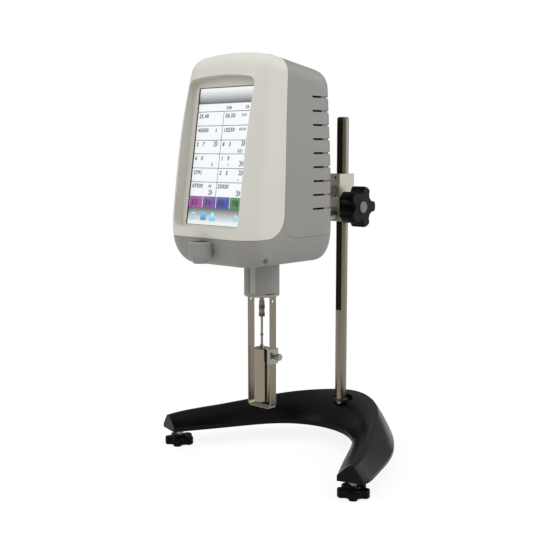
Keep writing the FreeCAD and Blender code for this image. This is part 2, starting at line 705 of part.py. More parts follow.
def make_knob():
    bush_r = CAVITY_R - S.bush_gap
    bush_start = S.block_half - S.bush_length
    bush = turned("PinionBush", [
        (S.shaft_r + S.fit_gap, bush_start), (bush_r, bush_start),
        (bush_r, S.block_half), (S.flange_r, S.block_half),
        (S.flange_r, S.block_half + S.flange_height),
        (S.shaft_r + S.fit_gap, S.block_half + S.flange_height)])
    along_x = (Vector(0, 1, 0), 90)
    piece(at(bush, 0, PINION_Y, S.pinion_z, along_x), "pinion_bush")
    knob = new_body("LiftKnob")
    front = S.knob_back + S.knob_depth
    bevelled(knob, lambda shrink: star(S.knob_r - shrink, S.knob_valley_r - shrink, lift=18),
             S.knob_back, front, S.knob_bevel)
    hub_start = S.block_half + S.flange_height + S.hub_gap
    pad(knob, circles(knob, "XY_Plane", [(0, 0, S.hub_r)], (0, 0, hub_start)),
        S.knob_back + S.cap_depth - hub_start)
    pocket(knob, circles(knob, "XY_Plane", [(0, 0, S.shaft_r)], (0, 0, hub_start)),
           S.shaft_reach - hub_start, back=True)
    pocket(knob, circles(knob, "XY_Plane", [(0, 0, S.cap_r)], (0, 0, front)), S.cap_depth)
    piece(at(knob, 0, PINION_Y, S.pinion_z, along_x), "lift_knob")
    cap = turned("KnobCap", [
        (0, front - S.cap_depth), (S.cap_r, front - S.cap_depth), (S.cap_r, front),
        (S.cap_r - S.cap_rise, front + S.cap_rise), (0, front + S.cap_rise)])
    piece(at(cap, 0, PINION_Y, S.pinion_z, along_x), "knob_cap")


# Head casing

def head_section(body, z, half, front, rear, inset=0):
    """Horizontal section of the head, with its own corner radii in front and behind."""
    half, front, rear = half - inset, front - inset, rear - inset
    front_corner, rear_corner = S.front_corner - inset, S.rear_corner - inset
    points = [
        (-half + front_corner, -front), (half - front_corner, -front, front_corner),
        (half, front_corner - front), (half, rear - rear_corner, rear_corner),
        (half - rear_corner, rear), (-half + rear_corner, rear, rear_corner),
        (-half, rear - rear_corner), (-half, front_corner - front, front_corner)]
    return outline(body, "XY_Plane", points, (0, 0, z))


def half_at(z):
    """Half width of the crowned sides at height z."""
    rise = size(z) - S.crown_z
    return S.crown_half - rise * rise / (2 * S.side_bend)


def front_at(z):
    """Distance of the leaning, crowned front face before the spindle axis at height z."""
    rise = size(z) - S.screen_z
    return S.front_y - rise * tangent(S.lean) - rise * rise / (2 * S.front_bend)


def rear_at(z):
    """Distance of the leaning rear face behind the spindle axis at height z."""
    return S.rear_low_y - (size(z) - S.belly_z) * tangent(S.rear_lean)


def roof_outline(half):
    """Space above the arched roof, drawn from its crest."""
    drop = S.roof_bend - root(S.roof_bend * S.roof_bend - half * half)
    return [(-half, -drop, -S.roof_bend), (half, -drop), (half, S.loft_over * 3),
            (-half, S.loft_over * 3)]


def cut_roof(body, crest_z):
    """Arched roof, level over the front cover and falling towards the back behind it."""
    space = roof_outline(S.crown_half * 1.2)
    crest = (0, crest_z, S.parting_y)
    pocket(body, outline(body, "XZ_Plane", space, crest), both=True)
    fall = arctangent((S.rear_top - S.head_top) / (S.rear_low_y + S.parting_y))
    pocket(body, outline(body, "XZ_Plane", space, crest, fall, Vector(1, 0, 0)), both=True)


def head_form():
    """Outer form of the head: smooth loft from the floor to above the arched roof."""
    body = new_body("HeadForm")
    sections = [
        head_section(body, S.head_bottom, S.floor_half, S.floor_front, S.floor_rear),
        head_section(body, S.tub_z, S.tub_half, S.tub_front, S.tub_rear)]
    tall = S.head_top + S.loft_over - S.belly_z
    for step in range(LOFT_STEPS + 1):
        z = S.belly_z + tall * step / LOFT_STEPS
        sections.append(head_section(body, z, half_at(z), front_at(z), rear_at(z)))
    loft(body, sections)
    cut_roof(body, S.head_top)
    level = SIZES["rear_top"] - 14
    round_edges(body, S.top_round, lambda edge: rim_edge(edge, level))
    round_edges(body, S.floor_round, flat_at(S.head_bottom))
    return body


def head_hollow():
    """Straight-sided hollow inside the head, drawn in under the roof and over the floor."""
    body = new_body("HeadHollow")
    wall = S.wall
    sections = [
        head_section(body, S.head_bottom + wall, S.floor_half, S.floor_front, S.floor_rear,
                     wall + S.floor_round / 8),
        head_section(body, S.tub_z, S.tub_half, S.tub_front, S.tub_rear, wall)]
    shoulder = S.rear_top - S.top_round
    for z in (S.belly_z, S.screen_z, shoulder):
        sections.append(head_section(body, z, half_at(z), front_at(z), rear_at(z), wall))
    top = S.head_top
    sections.append(head_section(body, top, half_at(top), front_at(top), rear_at(top),
                                 wall + S.top_round * 0.9))
    loft(body, sections, ruled=True)
    cut_roof(body, S.head_top - wall * 2)
    return body


def rim_edge(edge, level):
    """True for edges round the top, leaving out the crease across it."""
    bounds = edge.BoundBox
    crease = bounds.YLength < 2 and bounds.YMax < 0 and bounds.YMin > -SIZES["parting_y"] * 1.2
    return bounds.ZMin > level and not crease


def parting_arc(z):
    """Place of the parting's curve between cover and casing, which leans back upwards."""
    rise = z - S.cover_bottom - S.cover_corner
    return S.parting_bend - root(S.parting_bend * S.parting_bend - rise * rise) - S.parting_y


def cover_region(grow=0):
    """Side view of the space that the front cover takes up, grown on all its edges."""
    body = new_body("CoverRegion")
    reach = S.front_y * 2
    corner = S.cover_corner
    top = S.head_top * 1.1
    knee = S.cover_bottom + corner
    points = [
        (-reach, S.cover_bottom - grow),
        (-S.parting_y - corner, S.cover_bottom - grow, corner + grow),
        (grow - S.parting_y, knee, -S.parting_bend), (parting_arc(top) + grow, top),
        (-reach, top)]
    pad(body, outline(body, "YZ_Plane", points), S.crown_half * 3, both=True)
    return body


def rear_region(grow=0):
    """Side view of the space that the rear casing takes up, grown on all its edges."""
    body = new_body("RearRegion")
    reach = S.rear_low_y * 2
    corner = S.rear_curve
    top = S.head_top * 1.1
    knee = S.cover_bottom + S.cover_corner
    start = S.seam - S.parting_y - grow
    points = [
        (start, S.rear_bottom + corner, corner + grow),
        (start + corner + grow, S.rear_bottom - grow), (reach, S.rear_bottom - grow),
        (reach, top), (parting_arc(top) + S.seam - grow, top, S.parting_bend), (start, knee)]
    pad(body, outline(body, "YZ_Plane", points), S.crown_half * 3, both=True)
    return body


def recess_tool():
    """Arched recess that the screen lies in, cut outwards from the screen plane."""
    body = new_body("Recess")
    points = [
        (-S.recess_half, -S.recess_low), (S.recess_half, -S.recess_low),
        (S.recess_half, S.recess_high, S.recess_arch), (-S.recess_half, S.recess_high)]
    pad(body, outline(body, "XY_Plane", points), S.front_corner)
    round_edges(body, S.recess_round, lambda e: e.BoundBox.ZLength > 1)
    return on_screen(body)


def flat_panel(name, half, high, thick, radius=None):
    """Upright plate drawn flat, its front at z = 0."""
    body = new_body(name)
    if radius is None:
        sketch = outline(body, "XY_Plane", rectangle(-half, half, -high, high))
    else:
        sketch = outline(body, "XY_Plane", rounded(-half, half, -high, high, radius))
    pad(body, sketch, thick, back=True)
    return body


def make_front_cover(shell_outer, shell_inner):
    """Moulded cover: shell, thick field round the screen, arched recess and window."""
    field = new_body("Field")
    reach = S.recess_half + S.rim
    points = rounded(-reach, reach, -S.recess_low - S.rim, S.recess_high + S.rim * 3,
                     S.recess_round)
    pad(field, outline(field, "XY_Plane", points, (0, 0, -S.rim)), S.front_corner + S.rim)
    on_screen(field)
    hollow = cut(shell_inner, field)
    window = flat_panel("Window", S.window_half, S.window_high, S.rim * 2, S.window_round)
    on_screen(window, S.rim)
    rebate = flat_panel("Rebate", S.glass_half + 0.2, S.glass_high + 0.2, S.rim)
    on_screen(rebate, -S.glass_step)
    cover = cut(common(shell_outer, cover_region()), hollow, recess_tool(), window, rebate)
    piece(cover, "front_cover")


def vent_slots():
    """Slots through both sides that run on as grooves round the rear corners."""
    slots = []
    for k in range(SIZES["slot_count"]):
        z = S.vent_first - S.vent_pitch * k
        low, high = z - S.vent_height / 2, z + S.vent_height / 2
        centre_x, centre_y = half_at(z) - S.rear_corner, rear_at(z) - S.rear_corner
        for side in (-1, 1):
            slots.append(side_box(side, centre_x, S.crown_half * 1.5, S.vent_start, centre_y,
                                  low, high))
            corner = side_box(side, centre_x, S.crown_half * 1.5, centre_y,
                              S.rear_low_y * 1.5, low, high)
            core = rod(S.rear_corner - S.vent_depth, S.vent_height * 2, centre_x * side, centre_y,
                       low - S.vent_height / 2)
            slots.append(cut(corner, core))
    return slots


def side_box(side, near, far, y0, y1, z0, z1):
    """Box between two distances from the middle plane, on the left or on the right."""
    if side > 0:
        return box(near, far, y0, y1, z0, z1)
    return box(-far, -near, y0, y1, z0, z1)


def rear_screws():
    return [(x, z) for x in (-S.rear_screw_x, S.rear_screw_x)
            for z in (S.rear_screw_low, S.rear_screw_high)]


def make_rear_casing(shell_outer, shell_inner):
    arm_hole = rod(S.socket_r + S.socket_gap, S.rear_low_y, 0, S.arm_inner_y, S.arm_z, "y")
    wells = [rod(S.rear_screw_r, S.rear_low_y, x, rear_at(z) - S.rear_screw_deep, z, "y")
             for x, z in rear_screws()]
    casing = cut(common(shell_outer, rear_region()), shell_inner, arm_hole, *vent_slots(),
                 *wells)
    piece(casing, "rear_casing")


def make_lower_casing(shell_outer, shell_inner):
    """Tub under both shells, with the level's boss, the neck's hole and an arched recess."""
    r, edge = S.boss_r, S.boss_bevel
    boss = turned("Boss", [
        (0, S.boss_bottom), (r - edge * 3, S.boss_bottom), (r, S.boss_bottom + edge * 4),
        (r, S.boss_top - edge, edge), (r - edge, S.boss_top), (0, S.boss_top)])
    boss = fused(at(boss, 0, -S.boss_y),
                 box(-S.boss_neck, S.boss_neck, -S.boss_y, -S.floor_front, S.boss_bottom + edge * 4,
                     S.boss_top - edge))
    tub = cut(shell_outer, cover_region(S.seam), rear_region(S.seam), shell_inner)
    posts = [rod(S.pillar_r, S.plate_z - S.head_bottom - S.wall / 2, x, y,
                 S.head_bottom + S.wall / 2) for x, y in plate_corners()]
    flat = box(-S.panel_half, S.panel_half, S.floor_rear - S.wall, PANEL_Y,
               S.panel_z - S.panel_high, S.panel_z + S.panel_high)
    backing = common(arch_prism(S.arch_rim, S.arch_x - S.arch_rim, S.crown_half), shell_outer)
    whole = fused(tub, cut(boss, shell_inner), flat, backing, *posts)
    neck_hole = rod(S.neck_r + 0.1, S.plate_z, 0, 0, S.head_bottom - 5)
    vial_hole = rod(S.vial_r + S.level_wall, S.vial_depth, 0, -S.boss_y,
                    S.boss_top - S.vial_depth)
    arch = arch_prism(0, S.arch_x, S.crown_half * 1.2)
    start = S.floor_rear - S.wall * 3
    holes = [box(S.switch_x - S.switch_half, S.switch_x + S.switch_half, start,
                 S.rear_low_y * 1.5, S.panel_z - S.switch_height, S.panel_z + S.switch_height)]
    holes += [rod(r, S.rear_low_y, x, start, S.panel_z, "y")
              for x, r in ((S.inlet_x, S.inlet_r), (S.probe_x, S.probe_r))]
    piece(cut(whole, neck_hole, vial_hole, arch, *holes), "lower_casing")


def arch_prism(grow, near, far):
    """Arched block low in the tub's right flank, grown all round, between two x places."""
    body = new_body("Arch")
    side = S.arch_width / 2 + grow
    spring = S.head_bottom + S.arch_height - S.arch_width / 2
    middle = -S.arch_y
    points = [
        (middle - side, S.head_bottom - grow), (middle + side, S.head_bottom - grow),
        (middle + side, spring, side * ARC_SLACK), (middle, spring + side, side * ARC_SLACK),
        (middle - side, spring)]
    pad(body, outline(body, "YZ_Plane", points), far - near)
    return at(body, near)


def plate_corners():
    inset = S.pillar_r + 1
    return [(x, y) for x in (inset - S.plate_half, S.plate_half - inset)
            for y in (inset - S.plate_front, S.plate_back - inset)]


# Screen and boards

def make_screen():
    glass = flat_panel("TouchGlass", S.glass_half, S.glass_high, S.glass_thick)
    piece(on_screen(glass, -S.glass_step), "touch_glass")
    frame = flat_panel("DisplayFrame", S.display_half + S.clip_frame,
                       S.display_high + S.clip_frame, S.clip_frame)
    opening = rectangle(-S.window_half, S.window_half, -S.window_high, S.window_high)
    pocket(frame, outline(frame, "XY_Plane", opening))
    piece(on_screen(frame, -S.rim), "display_frame")
    display = flat_panel("Display", S.display_half, S.display_high, S.display_thick)
    piece(on_screen(display, -S.rim - S.clip_frame), "lcd_display")
    board = flat_panel("Board", S.board_half, S.board_high, S.board_thick)
    depth = S.rim + S.clip_frame + S.display_thick + S.board_gap
    piece(on_screen(board, -depth), "main_board")
    corner_x, corner_v = S.board_half - S.post_r * 1.5, S.board_high - S.post_r * 1.5
    posts = []
    for x in (-corner_x, corner_x):
        for v in (-corner_v, corner_v):
            post = new_body("BoardPost")
            pad(post, circles(post, "XY_Plane", [(x, v, S.post_r)]), S.board_gap)
            posts.append(on_screen(post, -depth))
    piece(group(*posts), "board_posts")


# Neck, level, guard and clip

def make_neck():
    neck = turned("Neck", [
        (S.neck_r - S.neck_wall, S.neck_bottom), (S.neck_r - S.neck_bevel, S.neck_bottom),
        (S.neck_r, S.neck_bottom + S.neck_bevel), (S.neck_r, S.plate_z),
        (S.neck_r - S.neck_wall, S.plate_z)])
    piece(neck, "neck_collar")


def make_level():
    cup = turned("LevelCup", [
        (0, 0), (S.vial_r + S.level_wall, 0), (S.vial_r + S.level_wall, S.vial_depth),
        (S.vial_r, S.vial_depth), (S.vial_r, S.level_wall), (0, S.level_wall)])
    low = S.boss_top - S.vial_depth
    piece(at(cup, 0, -S.boss_y, low), "level_cup")
    height = S.vial_depth - S.level_wall - 0.4
    vial = turned("LevelVial", [(0, 0), (S.vial_r, 0), (S.vial_r, height), (0, height)])
    piece(at(vial, 0, -S.boss_y, low + S.level_wall), "level_vial")


def make_guard():
    """Bent strap under a ring: the leg that guards the spindle."""
    body = new_body("GuardLeg")
    out, thick, bend = S.strap_x, S.strap_thick, S.guard_round
    inner, bottom = out - thick, S.guard_bottom
    top = S.guard_ring_low + S.guard_ring_height
    shape = [
        (-out, top), (-out, bottom + bend, bend), (-out + bend, bottom),
        (out - bend, bottom, bend), (out, bottom + bend), (out, top), (inner, top),
        (inner, bottom + bend, -(bend - thick)), (out - bend, bottom + thick),
        (bend - out, bottom + thick, -(bend - thick)), (-inner, bottom + bend), (-inner, top)]
    pad(body, outline(body, "XZ_Plane", shape), S.strap_half * 2, both=True)
    ring_r = S.neck_r - S.neck_wall
    ring = circles(body, "XY_Plane", [(0, 0, ring_r), (0, 0, ring_r - S.guard_ring_wall)],
                   (0, 0, S.guard_ring_low))
    pad(body, ring, S.guard_ring_height)
    hole = circles(body, "YZ_Plane", [(0, S.strap_hole_z, S.strap_hole_r)])
    pocket(body, hole, both=True)
    piece(body, "guard_leg")


def make_clip():
    """Probe clip that rides on the right strut and its thumb screw."""
    body = new_body("ProbeClip")
    gap = S.clip_gap
    near, far = S.strap_x - S.strap_thick - gap, S.strap_x + gap
    half, wall = S.strap_half + gap, S.clip_wall
    shape = [(near - wall, -half - wall), (far + wall, -half - wall), (far + wall, half + wall),
             (near - wall, half + wall), (near - wall, half - 1), (near, half - 1),
             (near, half), (far, half), (far, -half), (near, -half), (near, 1 - half),
             (near - wall, 1 - half)]
    low = S.clip_z - S.clip_height / 2
    pad(body, outline(body, "XY_Plane", shape, (0, 0, low)), S.clip_height)
    side = far + wall
    boss = circles(body, "YZ_Plane", [(0, S.clip_z, S.clip_boss_r)], (0, 0, side))
    pad(body, boss, S.clip_boss)
    bore = circles(body, "YZ_Plane", [(0, S.clip_z, S.thumb_shank_r + S.fit_gap)], (0, 0, far))
    pocket(body, bore, back=True)
    piece(body, "probe_clip")
    head = side + S.clip_boss + gap
    screw = turned("ThumbScrew", [
        (0, far + gap), (S.thumb_shank_r, far + gap), (S.thumb_shank_r, head),
        (S.thumb_r, head), (S.thumb_r, head + S.thumb_length), (0, head + S.thumb_length)])
    piece(at(screw, 0, 0, S.clip_z, (Vector(0, 1, 0), 90)), "clip_screw")


# Spindle and torque train

def make_spindle():
    top = S.rotor_bottom + S.rotor_length
    r, edge = S.rotor_r, S.rotor_edge
    spindle = turned("Spindle", [
        (0, S.rotor_bottom), (r - edge, S.rotor_bottom), (r, S.rotor_bottom + edge),
        (r, top - edge), (r - edge, top), (S.flare_r, top),
        (S.stem_r, top + S.flare_height), (S.stem_r, S.bead_z - S.bead_half),
        (S.bead_r, S.bead_z), (S.stem_r, S.bead_z + S.bead_half), (S.stem_r, S.stem_top),
        (0, S.stem_top)])
    piece(spindle, "spindle_rotor")
    low = S.nut_low
    first = low + S.waist_height
    second = first + RIDGE_GAP
    nut = turned("CouplingNut", [
        (0, S.stem_top), (S.stem_r, S.stem_top), (S.stem_r, low), (S.waist_r * 0.8, low),
        (S.waist_r, first), (S.ridge_r, first), (S.ridge_r, first + S.ridge_height),
        (S.waist_r, first + S.ridge_height), (S.waist_r, second), (S.ridge_r, second),
        (S.ridge_r, second + S.ridge_height), (S.waist_r, second + S.ridge_height),
        (S.waist_r, S.nut_top), (0, S.nut_top)])
    piece(nut, "coupling_nut")


def slotted_disc(name, inner):
    """Encoder disc with a ring of notches in its edge."""
    body = new_body(name)
    pad(body, circles(body, "XY_Plane", [(0, 0, S.disc_r), (0, 0, inner)]), S.disc_thick)
    half = S.disc_notch / 4
    notch = pocket(body, outline(body, "XY_Plane", rectangle(
        -half, half, S.disc_r - S.disc_notch, S.disc_r + 1)), both=True)
    ring = body.newObject("PartDesign::PolarPattern", "Ring")
    ring.Originals = [notch]
    ring.Axis = (origin_axis(body, "Z_Axis"), [""])
    ring.Angle = 360
    bind(ring, "Occurrences", S.notch_count)
    body.Tip = ring
    return body


def make_torque_train():
    low, high = S.spring_z - 0.4, S.spring_z + S.spring_height
    pivot = turned("PivotShaft", [
        (0, S.nut_top), (S.pivot_r, S.nut_top), (S.pivot_r, S.lower_disc_z - 2.5),
        (S.collet_r, S.lower_disc_z - 2.5), (S.collet_r, S.lower_disc_z),
        (S.pivot_r, S.lower_disc_z), (S.pivot_r, low), (S.spring_r - 0.4, low),
        (S.spring_r - 0.4, high), (S.pivot_r, high), (S.pivot_r, S.pivot_top),
        (0, S.pivot_top)])
    piece(pivot, "pivot_shaft")
    piece(at(slotted_disc("LowerDisc", S.pivot_r), 0, 0, S.lower_disc_z), "lower_disc")
    jewel = turned("Jewel", [
        (S.pivot_r + S.fit_gap, S.plate_z), (S.jewel_r, S.plate_z),
        (S.jewel_r, PLATE_TOP + 2), (S.pivot_r + S.fit_gap, S.plate_z + S.jewel_height)])
    piece(jewel, "jewel_bearing")
    hub = turned("DriveHub", [
        (S.pivot_r + S.fit_gap, S.hub_low), (S.hub_out_r, S.hub_low),
        (S.hub_out_r, S.motor_plate_z - 1), (S.motor_shaft_r, S.motor_plate_z - 1),
        (S.motor_shaft_r, S.pivot_top + 1), (S.pivot_r + S.fit_gap, S.pivot_top + 1)])
    piece(hub, "drive_hub")
    piece(at(slotted_disc("UpperDisc", S.hub_out_r), 0, 0, S.upper_disc_z), "upper_disc")
    shaft = rod(S.motor_shaft_r, S.motor_plate_z + S.motor_height / 2 - S.pivot_top - 1.5,
                0, 0, S.pivot_top + 1.5)
    piece(shaft, "motor_shaft")


def make_hairspring():
    """Flat spiral spring whose outer end is held by the drive hub's arm."""
    spine = doc.addObject("Part::Spiral", "SpringPath")
    bind(spine, "Radius", S.spring_r)
    bind(spine, "Growth", S.spring_growth)
    bind(spine, "Rotations", S.spring_turns)
    strip = doc.addObject("Part::Plane", "SpringStrip")
    bind(strip, "Length", S.spring_wire)
    bind(strip, "Width", S.spring_height)
    strip.Placement = Placement(Vector(), Rotation(Vector(1, 0, 0), 90))
    set_base(strip, "Placement.Base", S.spring_r, 0, 0)
    spring = doc.addObject("Part::Sweep", "Hairspring")
    spring.Sections = [strip]
    spring.Spine = (spine, [])
    spring.Solid = True
    piece(at(spring, 0, 0, S.spring_z), "hairspring")
    reach = S.spring_r + S.spring_growth * S.spring_turns
    half = S.stud_width / 2
    stud = box(reach + S.spring_wire / 2 - half, reach + S.spring_wire / 2 + half, S.fit_gap,
               S.fit_gap + S.stud_width, S.spring_z, S.upper_disc_z)
    piece(stud, "spring_stud")


def make_chassis():
    plate = new_body("BasePlate")
    edge = rectangle(-S.plate_half, S.plate_half, -S.plate_front, S.plate_back)
    pad(plate, outline(plate, "XY_Plane", edge, (0, 0, S.plate_z)), S.plate_thick)
    pocket(plate, circles(plate, "XY_Plane", [(0, 0, S.jewel_r)], (0, 0, S.plate_z)),
           back=True)
    piece(plate, "base_plate")
    spots = [(S.pillar_circle * cosine(a), S.pillar_circle * sine(a)) for a in (90, 210, 330)]
    pillars = [rod(S.pillar_r, S.motor_plate_z - PLATE_TOP, x, y, PLATE_TOP) for x, y in spots]
    piece(group(*pillars), "pillars")
    top = new_body("MotorPlate")
    pad(top, circles(top, "XY_Plane", [(0, 0, S.motor_plate_r), (0, 0, S.hub_out_r)],
                     (0, 0, S.motor_plate_z)), S.plate_thick)
    piece(top, "motor_plate")
    motor = new_body("Motor")
    half = S.motor_half
    low = S.motor_plate_z + S.plate_thick
    pad(motor, outline(motor, "XY_Plane", rounded(-half, half, -half, half, S.motor_corner),
                       (0, 0, low)), S.motor_height)
    bore = circles(motor, "XY_Plane", [(0, 0, S.motor_shaft_r + S.fit_gap)], (0, 0, low))
    pocket(motor, bore, S.motor_height / 2 + 2, back=True)
    piece(motor, "drive_motor")


def make_sensors():
    """Forked light gates, one at each side, reaching over both discs' edges."""
    gates = []
    for side in (-1, 1):
        body = new_body("LightGate")
        low, high = PLATE_TOP, S.upper_disc_z + S.disc_thick + 4
        gap_low = S.lower_disc_z - S.sensor_clear
        gap_high = S.upper_disc_z + S.disc_thick + S.sensor_clear
        reach, back, out = S.sensor_reach, S.sensor_back, S.sensor_out
        shape = [(reach, gap_low - 3), (back, gap_low - 3), (back, low), (out, low),
                 (out, high), (reach, high), (reach, gap_high), (back, gap_high),
                 (back, gap_low), (reach, gap_low)]
        shape = [(u * side, v) for u, v in shape]
        pad(body, outline(body, "XZ_Plane", shape), S.sensor_width, both=True)
        gates.append(body)
    piece(group(*gates), "light_gates")


# Rear connections

def make_socket():
    back = box(-S.chassis_half, S.chassis_half, S.chassis_y, S.chassis_y + S.chassis_thick,
               PLATE_TOP, S.chassis_top)
    piece(back, "chassis_plate")
    start = S.chassis_y + S.chassis_thick
    socket = turned("ArmSocket", [
        (0, start), (S.socket_flange_r, start), (S.socket_flange_r, start + 4),
        (S.socket_r, start + 4), (S.socket_r, S.socket_out_y),
        (S.arm_r, S.socket_out_y), (S.arm_r, S.arm_inner_y), (0, S.arm_inner_y)])
    piece(at(socket, 0, 0, S.arm_z, (Vector(1, 0, 0), -size(90))), "arm_socket")


def make_rear_panel():
    switch_x, gap = S.switch_x, S.rocker_gap
    half, high, lip = S.switch_half, S.switch_height, S.lip
    barrel = box(switch_x - half + gap, switch_x + half - gap, PANEL_Y - S.switch_depth,
                 PANEL_Y + S.bezel, S.panel_z - high + gap, S.panel_z + high - gap)
    rim = box(switch_x - half - lip, switch_x + half + lip, PANEL_Y, PANEL_Y + S.bezel,
              S.panel_z - high - lip, S.panel_z + high + lip)
    room = S.rocker_height + S.rocker_swing
    well = box(switch_x - S.rocker_half - gap, switch_x + S.rocker_half + gap,
               PANEL_Y - S.rocker_height, PANEL_Y + S.bezel * 2, S.panel_z - room,
               S.panel_z + room)
    pin_half = S.rocker_half + 1
    bore = rod(S.rocker_pin_r + S.fit_gap, pin_half * 2 + gap * 2, switch_x - pin_half - gap,
               PANEL_Y, S.panel_z, "x")
    piece(cut(fused(barrel, rim), well, bore), "switch_housing")
    rocker = new_body("Rocker")
    tall, rise = S.rocker_height, S.rocker_rise
    shape = [(-3, tall * -0.55), (-3, tall * 0.55), (S.bezel, tall), (S.bezel + rise, tall),
             (S.bezel * 0.8, 0), (S.bezel, -tall)]
    pad(rocker, outline(rocker, "YZ_Plane", shape), S.rocker_half * 2, both=True)
    pivot = circles(rocker, "YZ_Plane", [(0, 0, S.rocker_pin_r)])
    pad(rocker, pivot, pin_half * 2, both=True)
    piece(at(rocker, switch_x, PANEL_Y, S.panel_z), "switch_rocker")
    for label, x, r, hole in (("power_inlet", S.inlet_x, S.inlet_r, S.inlet_hole_r),
                              ("probe_socket", S.probe_x, S.probe_r, S.probe_hole_r)):
        inlet = turned("Inlet", [
            (0, 0), (r - gap, 0), (r - gap, S.inlet_depth), (r + lip, S.inlet_depth),
            (r + lip, S.inlet_depth + S.bezel), (hole, S.inlet_depth + S.bezel),
            (hole, S.bezel), (1, S.bezel), (1, S.inlet_depth), (0, S.inlet_depth)])
        piece(at(inlet, x, PANEL_Y - S.inlet_depth, S.panel_z, (Vector(1, 0, 0), -size(90))),
              label)
    screws = []
    for x, z in rear_screws():
        screw = turned("CasingScrew", [
            (0, 0), (S.rear_screw_r, 0), (S.rear_screw_r, S.rear_screw_deep * 0.7),
            (S.rear_screw_r * 0.7, S.rear_screw_deep), (0, S.rear_screw_deep)])
        screws.append(at(screw, x, rear_at(z) - S.rear_screw_deep, z,
                         (Vector(1, 0, 0), -size(90))))
    piece(group(*screws), "casing_screws")


def check_and_write():
    """Stop on any failed object, then write one STEP file for each sub-part."""
    doc.recompute()
    for thing in doc.Objects:
        if "Invalid" in thing.State or "Error" in thing.State:
            raise RuntimeError(f"{thing.Label} failed: {thing.State}")
    os.makedirs("parts", exist_ok=True)
    for label, thing in pieces.items():
        shape = thing.Shape
        if shape.isNull() or not shape.isValid() or not shape.Solids:
            raise RuntimeError(f"{label} has no valid solid")
    for label, thing in pieces.items():
        thing.Shape.exportStep(os.path.join("parts", f"{label}.step"))
        print(f"{label:20s} solids {len(thing.Shape.Solids)} volume {thing.Shape.Volume:.0f}")


def main():
    make_base()
    make_column()
    make_rack()
    make_feet()
    make_block()
    make_tension_screw()
    make_pinion()
    make_knob()
    outer = head_form()
    inner = head_hollow()
    make_front_cover(outer, inner)
    make_rear_casing(outer, inner)
    make_lower_casing(outer, inner)
    make_screen()
    make_neck()
    make_level()
    make_guard()
    make_clip()
    make_spindle()
    make_torque_train()
    make_hairspring()
    make_chassis()
    make_sensors()
    make_socket()
    make_rear_panel()
    check_and_write()


main()
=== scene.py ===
"""Looks of the touch-screen rotational rheometer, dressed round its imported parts."""
import json
import math

import bmesh
import bpy
from mathutils import Matrix, Vector


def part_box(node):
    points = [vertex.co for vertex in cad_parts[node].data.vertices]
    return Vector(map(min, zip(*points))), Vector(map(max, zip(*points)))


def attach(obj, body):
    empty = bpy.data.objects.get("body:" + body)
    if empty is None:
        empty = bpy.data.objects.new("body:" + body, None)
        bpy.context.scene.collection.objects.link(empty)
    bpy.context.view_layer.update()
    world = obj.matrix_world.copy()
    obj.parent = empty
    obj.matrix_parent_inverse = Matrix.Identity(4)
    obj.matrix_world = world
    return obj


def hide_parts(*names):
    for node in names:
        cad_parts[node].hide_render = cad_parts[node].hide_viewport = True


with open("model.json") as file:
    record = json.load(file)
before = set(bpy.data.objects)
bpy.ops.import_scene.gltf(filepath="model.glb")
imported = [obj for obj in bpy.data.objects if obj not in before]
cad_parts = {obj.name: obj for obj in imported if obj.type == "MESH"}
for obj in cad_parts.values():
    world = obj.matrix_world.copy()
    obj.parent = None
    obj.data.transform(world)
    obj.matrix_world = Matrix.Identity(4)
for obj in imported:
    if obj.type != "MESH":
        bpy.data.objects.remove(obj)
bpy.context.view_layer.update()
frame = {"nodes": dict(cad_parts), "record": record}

bl_info = {
    "name": "Rotational rheometer",
    "version": (1, 0, 0),
    "blender": (4, 5, 0),
    "location": "View3D > Sidebar > Rheometer",
    "description": "Builds the finishes and small pieces of a rotational rheometer",
    "category": "Object",
}

NODES = frame["nodes"]
CAP_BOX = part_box("knob_cap")
THUMB_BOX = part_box("clip_screw")
NECK_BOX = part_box("neck_collar")
VIAL_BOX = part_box("level_vial")
ROCKER_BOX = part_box("switch_rocker")
TENSION_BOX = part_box("tension_screw")

MM = 0.001
# How far the frame's middle lies behind the spindle's axis, in millimetres
CENTRE_Y = 49.75
# Lean of the screen, and its middle in millimetres about the spindle's axis
LEAN = math.radians(8.9)
SCREEN_Y = -68.7
SCREEN_Z = 374.0
# Edges sharper than this stay crisp
CREASE = math.radians(35.0)


def colour(name, text, value):
    return bpy.props.FloatVectorProperty(
        name=name, description=text, subtype="COLOR", size=3, min=0, max=1, default=value)


def length(name, text, value, low=0.0, high=1.0):
    return bpy.props.FloatProperty(
        name=name, description=text, subtype="DISTANCE", unit="LENGTH", default=value,
        min=low, max=high, precision=5)


def plain(name, text, value, low=0.0, high=10.0):
    return bpy.props.FloatProperty(name=name, description=text, default=value, min=low, max=high)


